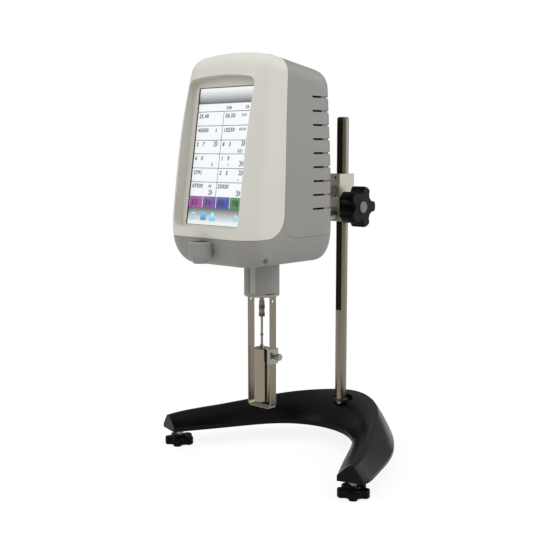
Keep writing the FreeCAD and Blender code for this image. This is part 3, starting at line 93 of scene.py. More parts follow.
class RheometerColours(bpy.types.PropertyGroup):
    """Colours of the moulded, painted and metal surfaces, linear values."""
    ivory: colour("Front cover", "Warm ivory plastic of the front cover", (0.605, 0.592, 0.533))
    casing: colour("Casing", "Warm grey plastic of the rear and lower casings",
                   (0.243, 0.235, 0.222))
    enamel: colour("Base", "Black gloss enamel of the base", (0.0016, 0.0013, 0.0013))
    knob: colour("Knobs", "Black plastic of the knobs and feet", (0.0022, 0.0018, 0.0021))
    cap: colour("Knob cap", "Grey plastic cap of the lifting knob", (0.125, 0.120, 0.120))
    steel: colour("Stainless steel", "Column, guard leg and spindle", (0.230, 0.206, 0.160))
    block: colour("Lifting block", "Satin metal of the lifting block", (0.40, 0.38, 0.33))
    silver: colour("Silver clip", "Polished probe clip and its screw", (0.33, 0.32, 0.30))
    # The rack's near-black colour is painted shade: the rack sits in the shadow of the column's
    # slot
    rack: colour("Rack", "Oiled dark steel of the rack", (0.035, 0.030, 0.020))
    aluminium: colour("Aluminium", "Inner plates", (0.60, 0.60, 0.60))
    brass: colour("Brass", "Hubs, posts and spring", (0.55, 0.36, 0.12))
    board: colour("Circuit board", "Green lacquer of the board", (0.01, 0.10, 0.04))
    lines: colour("Screen lines", "Dark lines and marks on the display", (0.006, 0.006, 0.008))
    paper: colour("Screen ground", "White ground of the display", (0.97, 0.98, 1.0))


class RheometerSizes(bpy.types.PropertyGroup):
    """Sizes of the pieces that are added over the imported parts."""
    screen_half_width: length("Screen half width", "Half of the lit area's width", 0.0430)
    screen_half_height: length("Screen half height", "Half of the lit area's height", 0.0770)
    header_height: length("Header height", "Height of the display's header bar", 0.0170)
    line_width: length("Line width", "Width of the display's lines", 0.0007)
    mark_height: length("Mark height", "Height of the display's figures", 0.0062)
    knob_radius: length("Knob radius", "Radius to the lifting knob's lobes", 0.0270)
    knob_valley: length("Knob valley", "Radius to the hollows between the lobes", 0.0182)
    foot_radius: length("Foot radius", "Radius to a foot's lobes", 0.0193)
    foot_valley: length("Foot valley", "Radius to the hollows of a foot", 0.0130)
    rib_radius: length("Rib radius", "Half width of one rib of a knurled band", 0.00024)
    grain_scale: plain("Grain scale", "Grains of moulded plastic over a metre", 900.0, 1, 5000)
    grain_depth: length("Grain depth", "Height of the moulded grain", 0.00003)


class RheometerStudio(bpy.types.PropertyGroup):
    """Floor, lamps and sky."""
    floor_size: length("Floor size", "Side of the floor", 6.0, 1.0, 20.0)
    key_power: plain("Key lamp", "Power of the large lamp on the left", 4.5, 0, 500)
    fill_power: plain("Fill lamp", "Power of the lamp on the right", 2.6, 0, 500)
    sky: plain("Sky", "Strength of the light from all round", 0.53, 0, 5)
    zenith: plain("Zenith", "Extra strength of the light from overhead", 1.12, 0, 5)
    glow: plain("Window", "Strength of the wide pale window behind on the right", 1.7, 0, 10)


def colours():
    return bpy.context.scene.rheometer_colours


def sizes():
    return bpy.context.scene.rheometer_sizes


def studio():
    return bpy.context.scene.rheometer_studio


# Shader groups and materials

COLOUR, FLOAT, VECTOR = "NodeSocketColor", "NodeSocketFloat", "NodeSocketVector"
SURFACE = (("Colour", COLOUR), ("Roughness", FLOAT), ("Normal", VECTOR))
# Repeats over a metre of the patterns inside the surface groups
CLOUDS = 14.0
STREAKS, METAL_CLOUDS = 1800.0, 30.0
COAT_WAVES, COAT_HAZE, COAT_DUST = 110.0, 9.0, 1500.0
# Dust shows where its pattern passes this limit, in this share and tone
DUST_LIMIT, DUST_SHARE, DUST_TONE = 0.74, 0.12, (0.25, 0.24, 0.22, 1)
# Squeeze of the drawn streaks, so that they run along an axis or round one
STREAK_WAYS = {"x": (0.02, 1, 1), "y": (1, 0.02, 1), "z": (1, 1, 0.02), "round": (0.4, 0.4, 1)}
# Machined rings of the tension screw: waves over a metre, their edge, share and tone
RING_WAVES, RING_EDGE, RING_SHARE, RING_TONE = 2400.0, 0.35, 0.85, (0.02, 0.018, 0.015, 1)


class Tree:
    """Short-hand for placing and linking shader or geometry nodes."""

    def __init__(self, tree):
        self.tree = tree
        self.x = -1200

    def node(self, kind, **values):
        made = self.tree.nodes.new(kind)
        made.location = (self.x, 0)
        self.x += 180
        for name, value in values.items():
            setattr(made, name, value)
        return made

    def link(self, source, target):
        self.tree.links.new(source, target)

    def feed(self, socket, value):
        """Link a socket's value, set a plain one, or leave the default for none."""
        if value is None:
            return
        if isinstance(value, bpy.types.NodeSocket):
            self.link(value, socket)
        else:
            socket.default_value = value

    def maths(self, operation, first, second=None, third=None):
        made = self.node("ShaderNodeMath", operation=operation)
        for socket, value in zip(made.inputs, (first, second, third)):
            self.feed(socket, value)
        return made.outputs[0]

    def mix(self, amount, first, second):
        made = self.node("ShaderNodeMix", data_type="RGBA")
        self.feed(made.inputs[0], amount)
        self.feed(made.inputs[6], first)
        self.feed(made.inputs[7], second)
        return made.outputs[2]

    def noise(self, place, scale, detail=2.0, rough=0.5):
        made = self.node("ShaderNodeTexNoise")
        self.feed(made.inputs["Vector"], place)
        self.feed(made.inputs["Scale"], scale)
        made.inputs["Detail"].default_value = detail
        made.inputs["Roughness"].default_value = rough
        return made.outputs[0]

    def bump(self, height, strength, distance):
        made = self.node("ShaderNodeBump")
        self.feed(made.inputs["Height"], height)
        self.feed(made.inputs["Strength"], strength)
        self.feed(made.inputs["Distance"], distance)
        return made.outputs[0]

    def shade(self, paint, value):
        """The paint made lighter or darker."""
        made = self.node("ShaderNodeHueSaturation")
        self.feed(made.inputs["Value"], value)
        self.link(paint, made.inputs["Color"])
        return made.outputs[0]

    def place(self):
        """Object coordinates."""
        return self.node("ShaderNodeTexCoord").outputs["Object"]

    def split(self, vector):
        """X, Y and Z of a vector."""
        made = self.node("ShaderNodeSeparateXYZ")
        self.link(vector, made.inputs[0])
        return made.outputs


def shader_group(name, inputs):
    """Shader node group with named inputs that puts out a surface."""
    group = bpy.data.node_groups.new(name, "ShaderNodeTree")
    for label, kind, value in inputs:
        socket = group.interface.new_socket(label, in_out="INPUT", socket_type=kind)
        socket.default_value = value
    for label, kind in SURFACE:
        group.interface.new_socket(label, in_out="OUTPUT", socket_type=kind)
    tree = Tree(group)
    return group, tree, tree.node("NodeGroupInput"), tree.node("NodeGroupOutput")


def moulded_group():
    """Fine moulded grain with faint cloudy changes of tone and gloss."""
    group, tree, given, made = shader_group("moulded_grain", (
        ("Colour", COLOUR, (0.5, 0.5, 0.5, 1)), ("Tone", FLOAT, 0.06),
        ("Roughness", FLOAT, 0.45), ("Scale", FLOAT, 900), ("Depth", FLOAT, 0.00003)))
    place = tree.place()
    cloud = tree.noise(place, CLOUDS, 3.0)
    speck = tree.noise(place, given.outputs["Scale"], 2.0, 0.6)
    shade = tree.maths("MULTIPLY", tree.maths("SUBTRACT", cloud, 0.5), given.outputs["Tone"])
    shaded = tree.shade(given.outputs["Colour"], tree.maths("ADD", shade, 1.0))
    tree.link(shaded, made.inputs["Colour"])
    rough = tree.maths("MULTIPLY", tree.maths("SUBTRACT", speck, 0.5), 0.12)
    tree.link(tree.maths("ADD", rough, given.outputs["Roughness"]), made.inputs["Roughness"])
    tree.link(tree.bump(speck, 0.5, given.outputs["Depth"]), made.inputs["Normal"])
    return group


def drawn_group():
    """Drawn metal: streaks along one axis in tone, gloss and relief."""
    group, tree, given, made = shader_group("drawn_metal", (
        ("Colour", COLOUR, (0.5, 0.5, 0.5, 1)), ("Streak", FLOAT, 0.18),
        ("Roughness", FLOAT, 0.28), ("Depth", FLOAT, 0.00002),
        ("Stretch", VECTOR, (1, 1, 0.02))))
    place = tree.place()
    mapping = tree.node("ShaderNodeMapping")
    tree.link(place, mapping.inputs["Vector"])
    tree.link(given.outputs["Stretch"], mapping.inputs["Scale"])
    streak = tree.noise(mapping.outputs[0], STREAKS, 2.0, 0.7)
    cloud = tree.noise(place, METAL_CLOUDS, 2.0)
    middle = tree.maths("SUBTRACT", streak, 0.5)
    shade = tree.maths("MULTIPLY_ADD", middle, given.outputs["Streak"], 1.0)
    tree.link(tree.shade(given.outputs["Colour"], shade), made.inputs["Colour"])
    rough = tree.maths("MULTIPLY_ADD", middle, 0.2, given.outputs["Roughness"])
    rough = tree.maths("MULTIPLY_ADD", tree.maths("SUBTRACT", cloud, 0.5), 0.08, rough)
    tree.link(rough, made.inputs["Roughness"])
    tree.link(tree.bump(streak, 0.4, given.outputs["Depth"]), made.inputs["Normal"])
    return group


def enamel_group():
    """Thick enamel: slow waves of the coat, dust specks and faint handling haze."""
    group, tree, given, made = shader_group("thick_enamel", (
        ("Colour", COLOUR, (0.01, 0.01, 0.01, 1)), ("Roughness", FLOAT, 0.12),
        ("Wave", FLOAT, 0.0002), ("Haze", FLOAT, 0.12)))
    place = tree.place()
    wave = tree.noise(place, COAT_WAVES, 2.0)
    haze = tree.noise(place, COAT_HAZE, 4.0, 0.6)
    dusty = tree.maths("GREATER_THAN", tree.noise(place, COAT_DUST, 1.0), DUST_LIMIT)
    pale = tree.mix(tree.maths("MULTIPLY", dusty, DUST_SHARE), given.outputs["Colour"],
                    DUST_TONE)
    tree.link(pale, made.inputs["Colour"])
    rough = tree.maths("MULTIPLY_ADD", haze, given.outputs["Haze"], given.outputs["Roughness"])
    tree.link(rough, made.inputs["Roughness"])
    tree.link(tree.bump(wave, 0.35, given.outputs["Wave"]), made.inputs["Normal"])
    return group


GROUPS = {}


def make_groups():
    GROUPS["moulded"] = moulded_group()
    GROUPS["drawn"] = drawn_group()
    GROUPS["enamel"] = enamel_group()


def rgba(value):
    return (value[0], value[1], value[2], 1.0)


def principled(name):
    """New material, with its tree and its shader."""
    material = bpy.data.materials.new(name)
    material.use_nodes = True
    return material, Tree(material.node_tree), material.node_tree.nodes["Principled BSDF"]


def finish(name, group, values, metallic=0.0, specular=0.5):
    """Material with one shader fed by a surface group."""
    material, tree, shader = principled(name)
    surface = tree.node("ShaderNodeGroup")
    surface.node_tree = GROUPS[group]
    for label, value in values.items():
        surface.inputs[label].default_value = value
    tree.link(surface.outputs["Colour"], shader.inputs["Base Color"])
    tree.link(surface.outputs["Roughness"], shader.inputs["Roughness"])
    tree.link(surface.outputs["Normal"], shader.inputs["Normal"])
    shader.inputs["Metallic"].default_value = metallic
    shader.inputs["Specular IOR Level"].default_value = specular
    return material


def moulded(name, tint, roughness=0.45, tone=0.06, depth=1.0, specular=0.5):
    return finish(name, "moulded", {
        "Colour": rgba(tint), "Roughness": roughness, "Tone": tone,
        "Scale": sizes().grain_scale, "Depth": sizes().grain_depth * depth},
        specular=specular)


def drawn(name, tint, roughness=0.28, streak=0.18, along="z"):
    return finish(name, "drawn", {
        "Colour": rgba(tint), "Roughness": roughness, "Streak": streak,
        "Stretch": STREAK_WAYS[along]}, metallic=1.0)


def ringed(name, tint):
    """Turned screw head whose face carries dark machined rings about its own axis."""
    material = drawn(name, tint, 0.3, 0.1, "y")
    tree = Tree(material.node_tree)
    paint = material.node_tree.nodes["Principled BSDF"].inputs["Base Color"]
    middle = middle_of(TENSION_BOX)
    parts = tree.split(tree.place())
    across = tree.maths("SUBTRACT", parts["X"], middle.x)
    upward = tree.maths("SUBTRACT", parts["Z"], middle.z)
    square = tree.maths("ADD", tree.maths("MULTIPLY", across, across),
                        tree.maths("MULTIPLY", upward, upward))
    wave = tree.maths("SINE", tree.maths("MULTIPLY", tree.maths("SQRT", square), RING_WAVES))
    dark = tree.maths("MULTIPLY", tree.maths("GREATER_THAN", wave, RING_EDGE), RING_SHARE)
    tree.link(tree.mix(dark, paint.links[0].from_socket, RING_TONE), paint)
    return material


def clear(name, tint, roughness, transmission, ior=1.45):
    """Glass or acrylic with a faint film of finger marks in its gloss."""
    material, tree, shader = principled(name)
    marks = tree.noise(tree.place(), 60.0, 4.0, 0.6)
    tree.link(tree.maths("MULTIPLY_ADD", marks, 0.05, roughness), shader.inputs["Roughness"])
    shader.inputs["Base Color"].default_value = rgba(tint)
    shader.inputs["Transmission Weight"].default_value = transmission
    shader.inputs["IOR"].default_value = ior
    return material


def lit(name, low, high, bottom=0.3, top=0.4, strength=1.0):
    """Display colour that shades from low to high between two heights of the object."""
    material, tree, shader = principled(name)
    ramp = tree.node("ShaderNodeMapRange")
    ramp.inputs["From Min"].default_value = bottom
    ramp.inputs["From Max"].default_value = top
    tree.link(tree.split(tree.place())["Z"], ramp.inputs["Value"])
    blend = tree.mix(ramp.outputs[0], rgba(low), rgba(high))
    tree.link(blend, shader.inputs["Emission Color"])
    shader.inputs["Emission Strength"].default_value = strength
    shader.inputs["Base Color"].default_value = (0.02, 0.02, 0.02, 1)
    shader.inputs["Roughness"].default_value = 0.3
    return material


MATERIALS = {}


def make_materials():
    tint = colours()
    steel, block = tint.steel, tint.block
    MATERIALS.update({
        "ivory_cover": moulded("ivory_cover_plastic", tint.ivory, 0.42, 0.05),
        "grey_casing": moulded("grey_casing_plastic", tint.casing, 0.46, 0.07, 1.3),
        "black_plastic": moulded("black_knob_plastic", tint.knob, 0.34, 0.1, 0.8, 0.09),
        "grey_plastic": moulded("grey_cap_plastic", tint.cap, 0.4, 0.06),
        "black_enamel": finish("black_base_enamel", "enamel", {
            "Colour": rgba(tint.enamel), "Roughness": 0.20}, specular=0.13),
        "stainless": drawn("drawn_stainless", steel, 0.26, 0.16),
        "bright_steel": drawn("turned_bright_steel", [c * 1.3 for c in steel], 0.2, 0.1,
                              "round"),
        "silver_clip": drawn("polished_silver_clip", tint.silver, 0.18, 0.08, "x"),
        "dark_steel": drawn("dark_steel", [c * 0.35 for c in steel], 0.38, 0.2, "round"),
        # Dark steel whose near-black tone paints the shade inside the column's slot
        "rack_painted_shade": drawn("rack_painted_shade", tint.rack, 0.42, 0.3),
        "ringed_steel": ringed("ringed_steel", block),
        # Casing colour made paler as a painted highlight on the neck's raised strips and the
        # lower rim's bevel
        "pale_trim": moulded("neck_trim_painted_highlight", [c * 1.45 for c in tint.casing], 0.3, 0.04, 0.5),
        "shadow_black": moulded("shadow_black", (0.004, 0.004, 0.004), 0.6, 0.1, 1.0, 0.1),
        "mark_white": moulded("white_marking", (0.75, 0.75, 0.73), 0.5, 0.04, 0.3),
        "ring_black": moulded("level_ring_black", (0.008, 0.008, 0.008), 0.4, 0.1, 0.3),
        "bubble": clear("level_bubble", (0.95, 1.0, 0.85), 0.02, 1.0, 1.05),
        "satin_block": drawn("satin_block_metal", block, 0.42, 0.12),
        "aluminium": drawn("milled_aluminium", tint.aluminium, 0.34, 0.1, "x"),
        "brass": drawn("turned_brass", tint.brass, 0.3, 0.1, "round"),
        "screen_glass": clear("screen_glass", (0.97, 0.99, 1.0), 0.03, 1.0),
        "vial_glass": clear("vial_acrylic", (0.72, 0.9, 0.25), 0.04, 0.9, 1.49),
        "display": moulded("display_back", (0.02, 0.02, 0.024), 0.3, 0.1, 0.5),
        "board_green": moulded("board_lacquer", tint.board, 0.28, 0.2, 2.0),
        "nylon": moulded("nylon_pad", (0.75, 0.74, 0.68), 0.5, 0.05),
    })


# Nodes whose finish is their own and not the one of their slot
OTHER_FINISH = {"rack_strip": "rack_painted_shade", "tension_screw": "ringed_steel",
                "column_ring": "dark_steel", "probe_clip": "silver_clip",
                "clip_screw": "silver_clip"}


def dress_nodes():
    """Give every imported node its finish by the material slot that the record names."""
    for part in frame["record"]["subparts"]:
        node = NODES.get(part["node"])
        if node is None:
            raise RuntimeError("no packed node named " + part["node"])
        slots = node.data.materials
        if len(slots) == 0:
            slots.append(None)
        for index in range(len(slots)):
            slots[index] = MATERIALS[OTHER_FINISH.get(part["node"], part["material_slot"])]


# Meshes

def add_mesh(name, verts, faces, material):
    """Object at the origin from points in metres."""
    mesh = bpy.data.meshes.new(name)
    mesh.from_pydata([tuple(v) for v in verts], [], faces)
    mesh.materials.append(material)
    thing = bpy.data.objects.new(name, mesh)
    bpy.context.scene.collection.objects.link(thing)
    return thing


def piece(name, verts, faces, material, body):
    """Closed smooth piece that rides on a body."""
    thing = add_mesh(name, verts, faces, MATERIALS[material])
    thing.data.validate()
    clean(thing.data)
    soften(thing.data)
    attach(thing, body)
    return thing


def clean(mesh):
    """Merge doubled points and turn the faces outwards."""
    work = bmesh.new()
    work.from_mesh(mesh)
    bmesh.ops.remove_doubles(work, verts=work.verts, dist=1e-7)
    bmesh.ops.recalc_face_normals(work, faces=work.faces)
    work.to_mesh(mesh)
    work.free()


def soften(mesh):
    """Smooth shading, with sharp edges kept crisp."""
    for face in mesh.polygons:
        face.use_smooth = True
    mesh.set_sharp_from_angle(angle=CREASE)


def bridge(rings, caps=True):
    """Points and faces of a skin over closed rings of equal length."""
    count = len(rings[0])
    verts = [v for ring in rings for v in ring]
    faces = []
    for level in range(len(rings) - 1):
        for k in range(count):
            a, b = level * count + k, level * count + (k + 1) % count
            faces.append((a, b, b + count, a + count))
    if caps:
        faces.append(tuple(reversed(range(count))))
        faces.append(tuple(range((len(rings) - 1) * count, len(rings) * count)))
    return verts, faces


def join(parts):
    """One list of points and faces from several."""
    verts, faces = [], []
    for some, more in parts:
        start = len(verts)
        verts += some
        faces += [tuple(i + start for i in face) for face in more]
    return verts, faces


def turns(count):
    """Angles of one full turn in equal steps."""
    return [2 * math.pi * k / count for k in range(count)]


def turned_rings(profile, count=64):
    """Rings of a turned shape about the z axis, from its radii and heights."""
    return [[Vector((r * math.cos(t), r * math.sin(t), z)) for t in turns(count)]
            for r, z in profile]


def loop_rings(radius, wire, count=48, steps=8):
    """Rings of a wire loop about the z axis, the first repeated at the end."""
    return [[Vector(((radius + wire * math.cos(t)) * math.cos(angle),
                     (radius + wire * math.cos(t)) * math.sin(angle), wire * math.sin(t)))
             for t in turns(steps)] for angle in turns(count) + [0.0]]


def middle_of(box):
    return (box[0] + box[1]) / 2


def spindle_frame(x, y, z):
    """Point in metres from millimetres measured about the spindle's axis."""
    return Vector((x * MM, (y - CENTRE_Y) * MM, z * MM))


# Star knobs

# Lobes of a star, the share of a lobe's sector that is its round tip, and the
# tip's reach and bend as shares of the star's radius
LOBES = 5
TIP_SHARE = 0.42
TIP_REACH = 0.93
TIP_BEND = 0.42
STAR_POINTS = 200
RIM_STEPS = 6
# Lifting knob along its own axis: inner face, cap's stand, rim's round and turn
KNOB_INNER, CAP_PROUD, KNOB_RIM, KNOB_TURN = 0.022, 0.0007, 0.0030, 18.0
KNOB_HUB = ((0.0105, 0.0128), (0.0105, 0.0232))
# Radii of the collar round the cap, and heights over the knob's outer face
KNOB_COLLAR = ((0.0108, -0.0004), (0.0108, 0.0002), (0.0104, 0.0004), (0.0082, 0.0004),
               (0.0078, 0.0002), (0.0078, -0.0004))
# Middles of the feet, in millimetres about the spindle's axis
FEET = {"left": (-143.3, -4.8), "right": (143.3, -4.8), "rear": (0.0, 190.0)}
FOOT_HEIGHT, FOOT_RIM, FOOT_TURN = 0.010, 0.0016, 90.0
FOOT_HUB = ((0.0078, 0.0099), (0.0070, 0.0115), (0.0042, 0.0115), (0.0042, 0.0112))


def star_radius(bearing, radius, valley, turn):
    """Reach of a star outline of round lobes joined by hollow arcs, at one bearing."""
    step = math.radians(360.0 / LOBES)
    angle = (math.radians(bearing - turn) + step / 2) % step - step / 2
    tip = step * TIP_SHARE / 2
    reach = radius * TIP_REACH
    if abs(angle) <= tip:
        bend = radius * TIP_BEND
        centre = reach * math.cos(tip) - math.sqrt(bend ** 2 - (reach * math.sin(tip)) ** 2)
        return centre * math.cos(angle) + math.sqrt(bend ** 2 - (centre * math.sin(angle)) ** 2)
    side = step / 2 - tip
    dip = reach * math.cos(side) - valley
    bend = ((reach * math.sin(side)) ** 2 + dip ** 2) / (2 * dip)
    centre = valley + bend
    off = step / 2 - abs(angle)
    return centre * math.cos(off) - math.sqrt(bend ** 2 - (centre * math.sin(off)) ** 2)


def star_rings(radius, valley, low, high, rim, turn):
    """Rings of a star prism with rounded rims, as (x, y, z) in its own frame."""
    quarter = [math.pi / 2 * k / RIM_STEPS for k in range(RIM_STEPS + 1)]
    profile = [(1.5 * rim, low)]
    profile += [(rim * (1 - math.sin(t)), low + rim * (1 - math.cos(t))) for t in quarter]
    profile += [(rim * (1 - math.cos(t)), high - rim * (1 - math.sin(t))) for t in quarter]
    profile += [(1.5 * rim, high)]
    bearings = [360.0 * k / STAR_POINTS for k in range(STAR_POINTS)]
    outline = [(math.radians(bearing), star_radius(bearing, radius, valley, turn))
               for bearing in bearings]
    return [[Vector(((reach - inset) * math.cos(t), (reach - inset) * math.sin(t), z))
             for t, reach in outline] for inset, z in profile]


class RHEO_OT_finishes(bpy.types.Operator):
    """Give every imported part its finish"""
    bl_idname = "rheometer.finishes"
    bl_label = "Finishes"

    def execute(self, context):
        make_groups()
        make_materials()
        dress_nodes()
        return {"FINISHED"}


class RHEO_OT_lift_knob(bpy.types.Operator):
    """Build the five-lobed lifting knob with rounded rims, a hub and a collar round its cap"""
    bl_idname = "rheometer.lift_knob"
    bl_label = "Lifting knob"

    def execute(self, context):
        size = sizes()
        outer = CAP_BOX[1].x - CAP_PROUD
        star = bridge(star_rings(size.knob_radius, size.knob_valley, KNOB_INNER, outer,
                                 KNOB_RIM, KNOB_TURN))
        hub = bridge(turned_rings(KNOB_HUB))
        collar = bridge(turned_rings([(r, outer + z) for r, z in KNOB_COLLAR]))
        verts, faces = join([star, hub, collar])
        turn = Matrix(((0, 0, 1), (0, 1, 0), (-1, 0, 0)))
        shift = middle_of(CAP_BOX)
        shift.x = 0
        knob = piece("lift_knob_body", [turn @ v + shift for v in verts], faces,
                     "black_plastic", "knob")
        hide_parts("lift_knob")
        return {"FINISHED"}


class RHEO_OT_feet(bpy.types.Operator):
    """Build the star wheels of the three levelling feet"""
    bl_idname = "rheometer.feet"
    bl_label = "Levelling feet"

    def execute(self, context):
        size = sizes()
        star = bridge(star_rings(size.foot_radius, size.foot_valley, 0.0, FOOT_HEIGHT, FOOT_RIM,
                                 FOOT_TURN))
        verts, faces = join([star, bridge(turned_rings(FOOT_HUB))])
        for side, (x, y) in FEET.items():
            shift = spindle_frame(x, y, 0)
            foot = piece(f"foot_{side}_star", [v + shift for v in verts], faces,
                         "black_plastic", f"{side}_star")
            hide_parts(f"foot_{side}_knob")
        return {"FINISHED"}


# Knurls and small trim

# Middles of the coupling nut's knurled bands, in millimetres above the floor
BANDS = (("lower", 187.25), ("upper", 196.75))
BAND_RIBS, BAND_REACH, BAND_WIDTH = 34, 0.0034, 0.0046
THUMB_RIBS, THUMB_WIDTH = 36, 0.0042
# How far the middle of the thumb screw's ribs lies inside its end
THUMB_INSET = 0.0025
RIB_SIDES = 8
# How deep the neck's trim is set into the neck
TRIM_DEPTH = 0.0003
LEVEL_RING_RADIUS, LEVEL_RING_WIRE = 0.0038, 0.00022
BUBBLE_RADIUS, BUBBLE_HALF_HEIGHT, BUBBLE_DEPTH = 0.0029, 0.0009, 0.0016
# Rocker's ring above its middle and bar below it, and how deep each is set in
ROCKER_RING_RADIUS, ROCKER_RING_WIRE, ROCKER_RING_DEPTH = 0.0010, 0.00016, 0.0009
ROCKER_BAR_HALF_WIDTH, ROCKER_BAR_HALF_HEIGHT, ROCKER_BAR_DEPTH = 0.00016, 0.001, 0.0002
ROCKER_MARK_HEIGHT = 0.0016


def ribbed_band():
    """Geometry nodes that stand round ribs side by side in a ring."""
    group = bpy.data.node_groups.new("ribbed_band", "GeometryNodeTree")
    for label, kind in (("Count", "NodeSocketInt"), ("Reach", FLOAT), ("Rib", FLOAT),
                        ("Length", FLOAT), ("Finish", "NodeSocketMaterial")):
        group.interface.new_socket(label, in_out="INPUT", socket_type=kind)
    group.interface.new_socket("Geometry", in_out="OUTPUT", socket_type="NodeSocketGeometry")
    tree = Tree(group)
    given, made = tree.node("NodeGroupInput"), tree.node("NodeGroupOutput")
    ring = tree.node("GeometryNodeMeshCircle")
    tree.link(given.outputs["Count"], ring.inputs["Vertices"])
    tree.link(given.outputs["Reach"], ring.inputs["Radius"])
    rib = tree.node("GeometryNodeMeshCylinder")
    rib.inputs["Vertices"].default_value = RIB_SIDES
    tree.link(given.outputs["Rib"], rib.inputs["Radius"])
    tree.link(given.outputs["Length"], rib.inputs["Depth"])
    spread = tree.node("GeometryNodeInstanceOnPoints")
    tree.link(ring.outputs["Mesh"], spread.inputs["Points"])
    tree.link(rib.outputs["Mesh"], spread.inputs["Instance"])
    real = tree.node("GeometryNodeRealizeInstances")
    tree.link(spread.outputs["Instances"], real.inputs["Geometry"])
    paint = tree.node("GeometryNodeSetMaterial")
    tree.link(real.outputs["Geometry"], paint.inputs["Geometry"])
    tree.link(given.outputs["Finish"], paint.inputs["Material"])
    tree.link(paint.outputs["Geometry"], made.inputs["Geometry"])
    return group


def grow(name, group, values, place):
    """Plain mesh of a geometry node group, put in its place."""
    seed = bpy.data.objects.new(name, bpy.data.meshes.new(name + "_seed"))
    bpy.context.scene.collection.objects.link(seed)
    modifier = seed.modifiers.new("nodes", "NODES")
    modifier.node_group = group
    for item in group.interface.items_tree:
        if item.in_out == "INPUT":
            modifier[item.identifier] = values[item.name]
    graph = bpy.context.evaluated_depsgraph_get()
    mesh = bpy.data.meshes.new_from_object(seed.evaluated_get(graph))
    mesh.transform(place)
    seed.modifiers.remove(modifier)
    seed.data = mesh
    mesh.name = name
    soften(mesh)
    return seed


class RHEO_OT_knurls(bpy.types.Operator):
    """Set knurled ribs round the coupling nut's two bands and the clip's thumb screw"""
    bl_idname = "rheometer.knurls"
    bl_label = "Knurls"

    def execute(self, context):
        group = ribbed_band()
        rib = sizes().rib_radius
        for name, height in BANDS:
            place = Matrix.Translation(spindle_frame(0, 0, height))
            band = grow(f"coupling_ribs_{name}", group, {
                "Count": BAND_RIBS, "Reach": BAND_REACH, "Rib": rib, "Length": BAND_WIDTH,
                "Finish": MATERIALS["stainless"]}, place)
            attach(band, "spindle")
        middle = middle_of(THUMB_BOX)
        radius = (THUMB_BOX[1].z - THUMB_BOX[0].z) / 2
        place = (Matrix.Translation((THUMB_BOX[1].x - THUMB_INSET, middle.y, middle.z))
                 @ Matrix.Rotation(math.pi / 2, 4, "Y"))
        thumb = grow("thumb_screw_ribs", group, {
            "Count": THUMB_RIBS, "Reach": radius, "Rib": rib, "Length": THUMB_WIDTH,
            "Finish": MATERIALS["silver_clip"]}, place)
        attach(thumb, "clip_screw")
        return {"FINISHED"}


def wrapped(low, high, start, end, proud, steps=10):
    """Closed shell that lies on the neck between two heights and two bearings."""
    radius = (NECK_BOX[1].x - NECK_BOX[0].x) / 2
    rings = []
    for k in range(steps + 1):
        bearing = math.radians(start + (end - start) * k / steps)
        c, s = math.cos(bearing), math.sin(bearing)
        rings.append([Vector((r * c, r * s - CENTRE_Y * MM, z))
                      for r, z in ((radius - TRIM_DEPTH, low), (radius + proud, low + proud),
                                   (radius + proud, high - proud), (radius - TRIM_DEPTH, high))])
    return bridge(rings)


class RHEO_OT_neck_trim(bpy.types.Operator):
    """Add the neck's raised strips and lower rim, pale as painted highlight, and its slits as
    painted shade
    """
    bl_idname = "rheometer.neck_trim"
    bl_label = "Neck trim"

    def execute(self, context):
        low, high = NECK_BOX[0].z, NECK_BOX[1].z
        # Raised strips and the lower rim, whose pale colour is a painted highlight
        strips = [wrapped(low + 0.0045, high - 0.001, start, start + 21, proud=0.0005)
                  for start in (-88, 92)]
        strips.append(wrapped(low + 0.0010, low + 0.0024, -180, 180, proud=0.00025, steps=96))
        trim = piece("neck_strips_painted_highlight", *join(strips), "pale_trim", "head")
        # Near-black patches that paint the shade inside the neck's slits and its groove
        slits = [wrapped(low + 0.0034, low + 0.0044, start, start + 34, proud=0.00012)
                 for start in (-34, 146)]
        slits.append(wrapped(low + 0.0048, high - 0.002, -91, -89.4, proud=0.0002))
        dark = piece("neck_slit_painted_shade", *join(slits), "shadow_black", "head")
        return {"FINISHED"}


